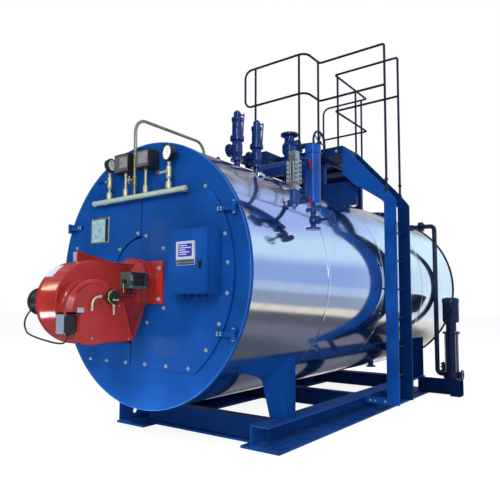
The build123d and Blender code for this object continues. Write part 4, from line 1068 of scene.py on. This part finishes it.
        inserts.piece("servo_inserts", Body.DOOR_RIGHT, SERVO_GREY)

    def brass_pieces(self) -> None:
        """Elbow and nipple of the air switch."""
        elbow = [(240, -572, 1178), (240, -636, 1172), (240, -658, 1140), (240, -660, 1082)]
        shape = Shape().tube(rounded(elbow, 30), 7.5)
        shape.plug((240, -588, 1178), FORWARD, 11, 12, 6).plug((240, -660, 1096), DOWN, 10, 12, 6)
        shape.tube([(243, -486, 1126), (243, -484, 1090), (243, -483, 1054)], 6.5)
        shape.plug((243, -486, 1122), DOWN, 10.5, 12, 6)
        shape.tube([(166, -342, 1282), (167, -343, 1250), (168, -340, 1208)], 3.0)
        shape.cap((-8, -158, 1432), UP, ((7, 0), (7, 14), (4, 20)), 16)
        shape.piece("air_switch_fittings", Body.DOOR_RIGHT, BRASS)

    def build(self) -> None:
        """Makes every burner piece."""
        self.red_pieces()
        self.bolts()
        self.pale_pieces()
        self.black_pieces()
        self.brass_pieces()


# Shell, valves and nozzles


@dataclass(frozen=True)
class Jacket:
    """Lap bands, screws and rosettes on the polished jacket."""

    seams: tuple[float, ...] = (1130.0, 2330.0, 3530.0)
    half: float = 17.0  # half the width of a lap band

    def build(self) -> None:
        """Makes the bands, their screws and the rosettes round the pipes."""
        half = self.half
        band = [(-1.0, -half), (0.9, -half), (1.2, 2 - half), (1.2, half - 2), (0.9, half), (-1.0, half)]
        outline = [(SHELL + rise, distance) for rise, distance in band]
        for number, y in enumerate(self.seams):
            lap = Shape().turned((0, y, AXIS), BACKWARD, outline, 180)
            lap.piece(f"jacket_lap_{number}", Body.BOILER, JACKET)
        screws = Shape()
        for y, angle in product(self.seams, np.radians(np.arange(-168, 170, 12))):
            ray = (sin(angle), 0.0, cos(angle))
            place = (ray[0] * (SHELL + 1.4), y, AXIS + ray[2] * (SHELL + 1.4))
            screws.cap(place, ray, ((5.5, 0), (5, 1.8), (2.4, 2.8)), 10)
        screws.piece("jacket_screws", Body.BOILER, ZINC)
        rosettes = Shape()
        for x, y, radius in (
            (0, 1189, 34), (0, 1520, 34), (0, 2167, 57), (0, 3980, 32), (0, 897, 14), (-100, 812, 22),
        ):
            flare = ((-2, -6), (26, -6), (26, 1.5), (8, 4), (3, 14), (-2, 14))
            ring = [(radius + wide, rise) for wide, rise in flare]
            rosettes.turned((x, y, AXIS + on_shell(x)), UP, ring, 40)
        ring = [(28, -30), (58, -30), (58, 4), (48, 9), (33, 12), (32, 26), (28, 26)]
        rosettes.turned((on_shell(1945 - AXIS), 741, 1945), RIGHT, ring, 40)
        ring = [(28, -12), (52, -12), (52, 2), (34, 6), (32, 20), (28, 20)]
        rosettes.turned((586, 741, AXIS + on_shell(586)), UP, ring, 40)
        ring = [(37, -30), (66, -30), (66, 3), (44, 7), (41, 18), (37, 18)]
        rosettes.turned((on_shell(2150 - AXIS), 4010, 2150), RIGHT, ring, 40)
        rosettes.piece("jacket_rosettes", Body.BOILER, JACKET)


@dataclass(frozen=True)
class TopValves:
    """Studs and nuts on the safety valves, the steam valve, the nozzles and the flue."""

    safety: tuple[float, float] = (1189.0, 1520.0)
    steam: tuple[float, float] = (2167.0, CROWN + 503.0)  # depth and height of the steam valve's axis
    wheel: tuple[float, float] = (385.0, 126.0)  # X of the handwheel and radius of its ring

    def build(self) -> None:
        """Makes one piece of studs for each group of valves."""
        nuts, bright = Shape(), Shape()
        for y in self.safety:
            nuts.bolt_circle((0, y, CROWN + 64), UP, 54, 4, 8, 45, 6)
            nuts.bolt_circle((0, y, CROWN + 44), DOWN, 54, 4, 8, 45)
            nuts.bolt_circle((0, y, CROWN + 384), UP, 60, 6, 7, 30, 5)
            nuts.bolt_circle((0, y, CROWN + 348), DOWN, 60, 6, 7, 30)
            nuts.bolt_circle((-84, y, CROWN + 262), RIGHT, 50, 4, 7.5, 45)
            bright.turned((0, y, CROWN + 64), UP, [(30, -19), (36, -19), (36, -1), (30, -1)], 40)
            bright.turned((0, y, CROWN + 6), UP, [(33.5, 0), (35.5, 2), (35.5, 30), (33.5, 32)], 40)
            bright.cap((84, y, CROWN + 594), (-0.19, 0, 0.98), ((9, -4), (9, 8), (5, 12)), 16)
            wire = [(57, y - 4, CROWN + 540), (66, y - 22, CROWN + 470), (66, y - 26, CROWN + 420)]
            bright.tube(wire, 1.6, 8)
        nuts.piece("safety_valve_nuts", Body.BOILER, NAVY)
        bright.piece("safety_valve_trim", Body.BOILER, STEEL)
        y, height = self.steam
        studs = Shape()
        for rise, way in ((-153, UP), (-197, DOWN)):
            studs.bolt_circle((0, y, height + rise), way, 80, 8, 11, 22.5, 8)
        studs.bolt_circle((122.8, y, height), RIGHT, 68, 8, 9, 22.5, 7)
        studs.plug((292, y, height), RIGHT, 24, 16, 6).plug((401, y, height), RIGHT, 15, 12, 6)
        studs.piece("steam_valve_nuts", Body.BOILER, NAVY)
        x, radius = self.wheel
        grip = Shape().turned((x, y, height), RIGHT, hoop(radius, 12.5, 12), 64)
        grip.piece("steam_wheel_grip", Body.STEAM_WHEEL, PUMP)
        others = Shape().bolt_circle((0, 3980, CROWN + 78), DOWN, 44, 4, 7)
        others.cap((0, 3980, CROWN + 96), UP, ((55, 0), (55, 14), (50, 18)), 40)
        others.bolt_circle((0, 3980, CROWN + 114), UP, 44, 4, 7, stud=5)
        others.cap((0, 897, CROWN + 90), UP, ((19, 0), (19, 16), (14, 22)), 6)
        others.piece("nozzle_blanks", Body.BOILER, NAVY)
        flue = Shape().bolt_circle((0, 4580, 2464), DOWN, 218, 12, 9, 15, 6)
        flue.piece("flue_nuts", Body.BOILER, ZINC)


# Water column and level gauge


@dataclass(frozen=True)
class Column:
    """Bolts, glass, nuts and grips round the water column."""

    x: float = 1110.0
    gauge: float = 455.0  # depths of the level gauge, the column and the cocks
    column: float = 741.0
    cock: float = 600.0
    cocks: tuple[float, float] = (1945.0, 2235.0)  # heights of the lower and the upper cock

    def build(self) -> None:
        """Makes the pieces of the gauge, its cocks and the drain valve."""
        x, front = self.x, self.gauge - 30
        glass = Shape().slab((x - 8, front - 1.0, 2034), (x + 8, front + 2, 2185), 0.8)
        glass.piece("gauge_glass", Body.BOILER, GLASS)
        bars = Shape()
        for side in (x - 11, x + 11):
            bars.slab((side - 2.5, front - 4, 2030), (side + 2.5, front + 1, 2189), 1.2)
        for z in range(2040, 2193, 17):
            bars.slab((x + 16, front - 2.0, z), (x + 24, front + 1, z + 3), 0.6)
        for side, z in product((-1, 1), range(2041, 2206, 33)):
            bars.bolt((x + side * 36, front, z), FORWARD, 8.0, stud=5)
            bars.bolt((x + 47, self.gauge + 6, z), RIGHT, 8.0, stud=4)
        bars.piece("level_gauge_bolts", Body.BOILER, ZINC)
        top = Shape()
        top.cap((x, self.gauge, 2266), UP, ((24, 0), (26, 3), (26, 14), (17, 20), (14, 34), (7, 40)), 28)
        top.cap((x, self.gauge, 1863), DOWN, ((26, 0), (26, 14), (14, 18), (14, 34)), 6)
        for z in self.cocks:
            top.cap((x, self.gauge + 40, z), BACKWARD, ((25, 0), (27, 3), (27, 19), (25, 22)), 6)
            top.cap((x, self.column - 84, z), BACKWARD, ((25, 0), (27, 3), (27, 17), (25, 20)), 6)
            top.plug((x + 14, self.cock, z), RIGHT, 20, 10, 6)
        top.piece("cock_nuts", Body.BOILER, COLUMN_BLUE)
        column = Shape().bolt_circle((x, self.column, 2380), UP, 46, 6, 8, 30)
        column.turned((x, self.column, 2312), UP, [(58, 0), (65.5, 2), (66, 10), (58, 12)], 56)
        column.turned((x, self.column, 1916), UP, [(58, 0), (62.5, 0), (63.5, 5), (58, 9)], 56)
        column.piece("column_cap_bolts", Body.BOILER, COLUMN_BLUE)
        drain = Shape().bolt_circle((x, self.column, 1861), DOWN, 44, 4, 7, 45)
        drain.bolt_circle((x, self.column, 1875), UP, 44, 4, 7, 45, 5)
        drain.plug((x + 118, self.column, 1786), RIGHT, 13, 12, 6)
        drain.cap((x + 46, self.column, 1786), RIGHT, ((30, 0), (30, 10), (26, 14)), 6)
        drain.piece("drain_valve_nuts", Body.BOILER, NAVY)
        along = np.array((0.0, sin(radians(32)), -cos(radians(32))))
        for body, z in zip((Body.COCK_LOWER, Body.COCK_UPPER), self.cocks):
            start = np.array((x + 40.5, self.cock, z)) + along * 26
            Shape().bar(start, start + along * 56, 7.5, 16).piece(f"{body.value}_grip", body, CRIMSON)


# Platform, ladder and skid


@dataclass(frozen=True)
class Access:
    """Rung ends, splice bolts, post feet and deck joists."""

    ladder: tuple[float, float] = (2319.0, 2706.0)  # depths of the two stringers
    deck: tuple[float, float] = (1987.0, 3624.0)  # depths of the deck's ends
    right: float = 316.0  # X of the deck's right side
    foot: Outline = ((880, 150), (930, 150), (1040, 150))
    splice: Outline = ((560, 2810), (560, 2850), (480, 2830))

    def build(self) -> None:
        """Makes the steelwork's small pieces."""
        (near, far), (front, rear) = self.ladder, self.deck
        faces = ((near - 9, FORWARD), (far + 9, BACKWARD))
        ends = Shape()
        for number, (y, way) in product(range(6), faces):
            ends.cap((1123.5, y, 400 + 296.5 * number), way, ((14, 0), (13, 2.4), (7, 3.4)), 18)
        ends.piece("rung_ends", Body.BOILER, BLUE)
        bolts = Shape()
        for (y, way), places in zip(faces, (self.foot, self.splice + self.foot)):
            bolts.bolts([(x, y, z) for x, z in places], way, 9, stud=5)
        bolts.bolt((520, near - 9, 2825), FORWARD, 13, stud=6)
        bolts.piece("ladder_bolts", Body.BOILER, ZINC)
        feet = Shape()
        posts = ((self.right, near - 40), (self.right, far + 60), (self.right, 3271))
        for x, y in (*posts, (242, rear - 14), (-333, rear - 14), (-361, front + 14)):
            feet.cap((x, y, 2875), UP, ((27, 0), (27, 6), (17, 8), (15, 22), (12, 24)), 28)
        for y, z in product(self.ladder, (2310, 2420)):
            feet.slab((1071, y - 14, z), (1105, y + 14, z + 22), 3)
        feet.piece("post_feet", Body.BOILER, RAIL)
        # The joists take the deck's dark blue, which is painted shade under the platform.
        joists = Shape()
        for y in np.linspace(front + 420, rear - 260, 3):
            joists.slab((-560, y - 3, 2745), (320, y + 3, 2786), 1.0)
            joists.slab((-560, y - 3, 2745), (320, y + 26, 2750), 1.0)
        for x, start in ((-556, front + 70), (self.right - 7, front + 330)):
            joists.slab((x, start, 2752), (x + 7, rear - 20, 2786), 1.5)
        joists.piece("deck_joists", Body.BOILER, SHADED_DECK)


@dataclass(frozen=True)
class Skid:
    """Hole rims and weld beads on the skid and saddles."""

    holes: tuple[float, float] = (720.0, 4040.0)  # depths of the rails' lifting holes
    saddles: Outline = ((800, 960), (3780, 4225))  # depths at which each saddle's foot starts and ends

    def build(self) -> None:
        """Makes the skid's small pieces."""
        shape = Shape()
        ring = [(30, 0), (41, 0), (41, 4), (38, 6), (31, 6), (30, 4)]
        for y, (x, way) in product(self.holes, ((667, RIGHT), (655, LEFT), (-886, RIGHT), (-898, LEFT))):
            shape.turned((x, y, 90), way, ring, 36)
        for (near, far), side in product(self.saddles, (-1, 1)):
            shape.bar((side * 656, near - 3, 193), (side * 809, near - 3, 193), 5.0, 8)
            shape.bar((side * 808, near, 194), (side * 808, far, 194), 5.0, 8)
        shape.piece("skid_rims", Body.BOILER, BLUE)


# Feed pump and rear end


@dataclass(frozen=True)
class Pump:
    """Tie rods, stage rings, motor ribs and the small check valve of the feed pump."""

    x: float = 1235.0
    y: float = 4010.0

    def build(self) -> None:
        """Makes the pump's pieces."""
        x, y = self.x, self.y
        rods = Shape()
        for place in around((x, y, 0), UP, 88, 4, 45):
            rods.bar(place + (0, 0, 296), place + (0, 0, 772), 6.5)
            for z in (788, 298):
                rods.plug(place + (0, 0, z), UP, 11, 11, 6)
        for end in (x - 92, x + 112):
            rods.bolt_circle((end, y, 262), LEFT, 50, 4, 7, 45)
        rods.bolts(product((x - 78, x + 78), (y - 58, y + 58), (208,)), UP, 9, stud=6)
        rods.piece("pump_tie_rods", Body.BOILER, STEEL)
        rings = Shape()
        for z in range(360, 721, 60):
            rings.turned((x, y, z), UP, [(69, -5), (73.5, -4), (73.5, 4), (69, 5)], 40)
        rings.ribs((x, y, 950), UP, 96, 24, (190, 3.6, 8))
        cowl = [(97, 0), (103, 0), (103, 40), (95, 58), (70, 62), (70, 58), (92, 54), (98, 38)]
        rings.turned((x, y, 1152), UP, cowl, 48)
        rings.slab((x - 45, y - 128, 1000), (x + 45, y - 92, 1096), 5.0)
        rings.slab((x - 49, y - 134, 996), (x + 49, y - 127, 1100), 2.5)
        rings.piece("pump_rings", Body.BOILER, PUMP)
        stack = (
            (16, -10), (16, 8), (34, 8), (34, 20), (20, 24), (20, 52), (36, 52), (36, 64), (22, 68),
            (22, 92), (34, 92), (34, 104), (16, 108), (16, 122),
        )
        check = Shape().cap((1128, y, 288), UP, stack).bolt_circle((1128, y, 308), UP, 28, 4, 4.5)
        check.piece("pump_check_valve", Body.BOILER, PUMP)
        union = Shape()
        for end, way in ((862, LEFT), (906, RIGHT)):
            union.bolt_circle((end, y, 2150), way, 54, 4, 8, 45, 5)
        union.piece("feed_line_bolts", Body.BOILER, PUMP)


@dataclass(frozen=True)
class RearEnd:
    """Bolts and plugs on the rear cover."""

    hatch: tuple[float, int] = (418.0, 24)  # radius and number of the inner circle's bolts
    cover: tuple[float, int] = (1000.0, 36)  # and of the outer one's

    def build(self) -> None:
        """Makes the rear cover's pieces."""
        bolts = Shape().bolt_circle((0, REAR, AXIS), BACKWARD, *self.hatch, 13, 7.5)
        bolts.bolt_circle((0, REAR - 12, AXIS), BACKWARD, *self.cover, 10, 5)
        bolts.piece("rear_cover_bolts", Body.BOILER, ZINC)
        plugs = Shape()
        for x, z in product((-150, 150), (AXIS - 70, AXIS + 70)):
            plugs.plug((x, REAR - 3, z), BACKWARD, 14, 2.6, 20)
        plugs.piece("rear_cover_plugs", Body.BOILER, BLUE)


# Cable


@dataclass(frozen=True)
class Cable:
    """The motor cable, from its gland on the motor to its gland on the terminal box."""

    route: tuple[Point, ...] = (
        (-336, -735, 1097), (-352, -768, 1050), (-366, -778, 992), (-316, -790, 932), (-239, -795, 908),
        (-35, -800, 879), (100, -798, 868), (160, -794, 880), (166, -786, 922),
    )
    diameter: float = 12.0

    def build(self) -> None:
        """Makes the cable as a curve, rides it on the right door and hides the frame's own cable."""
        curve = bpy.data.curves.new("burner_cable_run", "CURVE")
        curve.dimensions = "3D"
        curve.bevel_depth = self.diameter / 2 * MM
        curve.bevel_resolution = 4
        curve.resolution_u = 10
        curve.use_fill_caps = True
        spline = curve.splines.new("NURBS")
        spline.points.add(len(self.route) - 1)
        points = np.ones((len(self.route), 4))
        points[:, :3] = (np.array(self.route) + (0.0, FRONT, 0.0)) * MM
        spline.points.foreach_set("co", points.ravel())
        spline.order_u = 3
        spline.use_endpoint_u = True
        cable = bpy.data.objects.new("burner_cable_run", curve)
        bpy.context.scene.collection.objects.link(cable)
        curve.materials.append(RUBBER.material())
        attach(cable, Body.DOOR_RIGHT.value)
        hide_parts("burner_cable")


# Stage


def make_world() -> None:
    """White to the camera, a soft studio light, and a sky, horizon and ground for mirror surfaces.

    The mirrored surroundings are bright behind and to the right of the boiler and dark in
    front and to the left, where a hall's far wall would be.
    """
    world = bpy.data.worlds.new("studio")
    bpy.context.scene.world = world
    world.use_nodes = True
    g = Graph(world.node_tree)
    direction = g.node("ShaderNodeTexCoord", output="Generated")
    x, y, up = g.axes(direction)
    level = up + g.noise(2.2, 3.0, direction) * 0.08 - 0.04
    mirror = g.bands(level, (0.085, 0.10, 0.14), (
        (-0.56, -0.46, (0.17, 0.18, 0.24)), (-0.43, -0.36, (0.11, 0.12, 0.155)),
        (-0.315, -0.285, (0.85, 0.80, 0.72)), (-0.245, -0.225, (0.30, 0.37, 0.53)),
        (-0.13, -0.10, (0.48, 0.60, 0.88)), (-0.05, -0.02, (0.30, 0.45, 0.85)),
        (0.12, 0.26, (0.60, 0.84, 1.10)), (0.34, 0.48, (0.40, 0.53, 1.00)), (0.55, 0.75, (0.45, 0.50, 0.70)),
    ))
    far = y.step(0.90, 0.965) * level.step(-0.27, -0.24)
    mirror = g.blend(far * 0.8, mirror, (0.88, 1.10, 1.15))
    streak = g.noise(5.0, 4.0, g.vector(x, y, up * 6.0)).step(0.40, 0.62)
    haze = (x * -1.0).step(0.0, 0.22) * level.step(0.0, 0.1)
    mirror = g.blend(haze, mirror, g.blend(streak, (0.13, 0.12, 0.12), (0.50, 0.54, 0.64)))
    side = (x * 0.75 + y * 0.66).step(-0.25, 0.30)
    edges = level.size().step(0.36, 0.52)
    mirror = g.blend(side + edges - side * edges, (0.03, 0.045, 0.085), mirror)
    open_side = (x * 0.6 - y * 0.7 + up * 0.35).step(-0.7, 0.7)
    glossy = g.node("ShaderNodeLightPath", output="Is Glossy Ray")
    camera = g.node("ShaderNodeLightPath", output="Is Camera Ray")
    dim = g.blend(open_side, (0.10, 0.12, 0.16), (0.78, 0.84, 0.95))
    soft = g.node("ShaderNodeBackground", {"Color": dim, "Strength": 0.60})
    shown = g.node("ShaderNodeBackground", {"Color": mirror, "Strength": 1.0})
    white = g.node("ShaderNodeBackground", {"Color": (1.0, 1.0, 1.0, 1.0), "Strength": 1.0})
    lit = g.node("ShaderNodeMixShader", {0: glossy, 1: soft, 2: shown})
    g.end("ShaderNodeOutputWorld", g.node("ShaderNodeMixShader", {0: camera, 1: lit, 2: white}))


@dataclass(frozen=True)
class Light:
    """One soft area light aimed at a point, in metres and watts, seen in mirrors only if mirrored."""

    name: str
    place: Point
    target: Point
    size: tuple[float, float]
    power: float
    colour: Colour = (1.0, 1.0, 1.0)
    mirrored: bool = False

    def build(self) -> None:
        """Makes the light and hides it from the camera."""
        data = bpy.data.lights.new(self.name, "AREA")
        data.shape, data.energy, data.color = "RECTANGLE", self.power, self.colour
        data.size, data.size_y = self.size
        light = bpy.data.objects.new(self.name, data)
        light.location = self.place
        light.rotation_euler = (Vector(self.target) - Vector(self.place)).to_track_quat("-Z", "Y").to_euler()
        light.visible_glossy = self.mirrored
        light.visible_camera = False
        bpy.context.scene.collection.objects.link(light)


LIGHTS = (
    Light("key", (2.5, -9.5, 5.5), (0.2, -1.5, 1.2), (3.5, 3.5), 350.0, (1.0, 0.99, 0.97)),
    Light("low", (-0.1, -2.75, 0.05), (-0.1, -2.4, 0.42), (1.6, 0.12), 7.5),
    Light("strip", (5.5, -9.4, 4.4), (0.8, -1.4, 2.3), (0.28, 5.0), 220.0, (0.96, 0.98, 1.0), True),
    Light("fill", (9.0, 1.0, 5.5), (0.8, 0.5, 1.2), (4.0, 4.0), 170.0, (0.95, 0.97, 1.0)),
    Light("window", (-1.4, -3.9, 1.92), (0.05, -3.2, 1.24), (0.16, 0.42), 2.7, (1.0, 0.84, 0.58), True),
    Light("glow", (-1.13, -3.77, 0.65), (-0.03, -3.2, 1.05), (0.26, 0.20), 2.2, (1.0, 0.93, 0.95), True),
    Light("top", (0.0, 0.5, 9.5), (0.0, 0.5, 1.0), (6.0, 6.0), 260.0),
    Light("rear", (-7.5, 6.5, 5.0), (0.0, 0.8, 1.3), (4.0, 4.0), 420.0),
)


def make_floor(reach: float = 60.0) -> None:
    """Pale floor, partly glowing to the camera so that it runs into the white background."""
    mesh = bpy.data.meshes.new("floor")
    corners = [(-reach, -reach, 0), (reach, -reach, 0), (reach, reach, 0), (-reach, reach, 0)]
    mesh.from_pydata(corners, [], [(0, 1, 2, 3)])
    floor = bpy.data.objects.new("floor", mesh)
    bpy.context.scene.collection.objects.link(floor)
    pale = bpy.data.materials.new("floor_pale")
    pale.use_nodes = True
    g = Graph(pale.node_tree)
    inputs = {"Base Color": (0.93, 0.93, 0.93, 1.0), "Roughness": 0.7 + g.noise(3.0, 2.0) * 0.1}
    matt = g.node("ShaderNodeBsdfPrincipled", inputs)
    glow = g.node("ShaderNodeEmission", {"Color": (1.0, 1.0, 1.0, 1.0), "Strength": 1.22})
    seen = g.node("ShaderNodeLightPath", output="Is Camera Ray") * 0.72
    g.end("ShaderNodeOutputMaterial", g.node("ShaderNodeMixShader", {0: seen, 1: matt, 2: glow}))
    mesh.materials.append(pale)
    floor.visible_glossy = False


@dataclass(frozen=True)
class Camera:
    """Camera solved from the photograph, with lengths in its pixels and angles in radians."""

    place: Point = (3.106, -5.179, 1.128)
    turn: float = -0.6357
    tilt: float = 0.0767
    roll: float = 0.0029
    picture: float = 500.0
    focal: float = 519.43
    rise: float = 14.4
    sensor: float = 36.0  # millimetres

    def build(self) -> None:
        """Makes the camera and gives it to the scene."""
        camera = bpy.data.cameras.new("camera")
        camera.sensor_width = self.sensor
        camera.lens = self.focal / self.picture * self.sensor
        camera.shift_y = self.rise / self.picture
        camera.clip_end = 200.0
        eye = bpy.data.objects.new("camera", camera)
        forward = Vector((sin(self.turn) * cos(self.tilt), cos(self.turn) * cos(self.tilt), sin(self.tilt)))
        right = forward.cross(Vector(UP)).normalized()
        level = Matrix((right, right.cross(forward), -forward)).transposed()
        turned = (level @ Matrix.Rotation(self.roll, 3, "Z")).to_4x4()
        eye.matrix_world = Matrix.Translation(self.place) @ turned
        bpy.context.scene.collection.objects.link(eye)
        bpy.context.scene.camera = eye


ASSEMBLIES = (
    Doors(), Cabinet(), Header(), Burner(), Jacket(), TopValves(), Column(), Access(), Skid(), Pump(),
    RearEnd(), Cable(),
)


def main() -> None:
    """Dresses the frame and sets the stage."""
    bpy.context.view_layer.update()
    finish_frame_nodes()
    for assembly in ASSEMBLIES:
        assembly.build()
    make_world()
    make_floor()
    for light in LIGHTS:
        light.build()
    Camera().build()
    bpy.context.scene.view_settings.view_transform = "Standard"


if __name__ == "__main__":
    logging.basicConfig(level=logging.INFO)
    main()
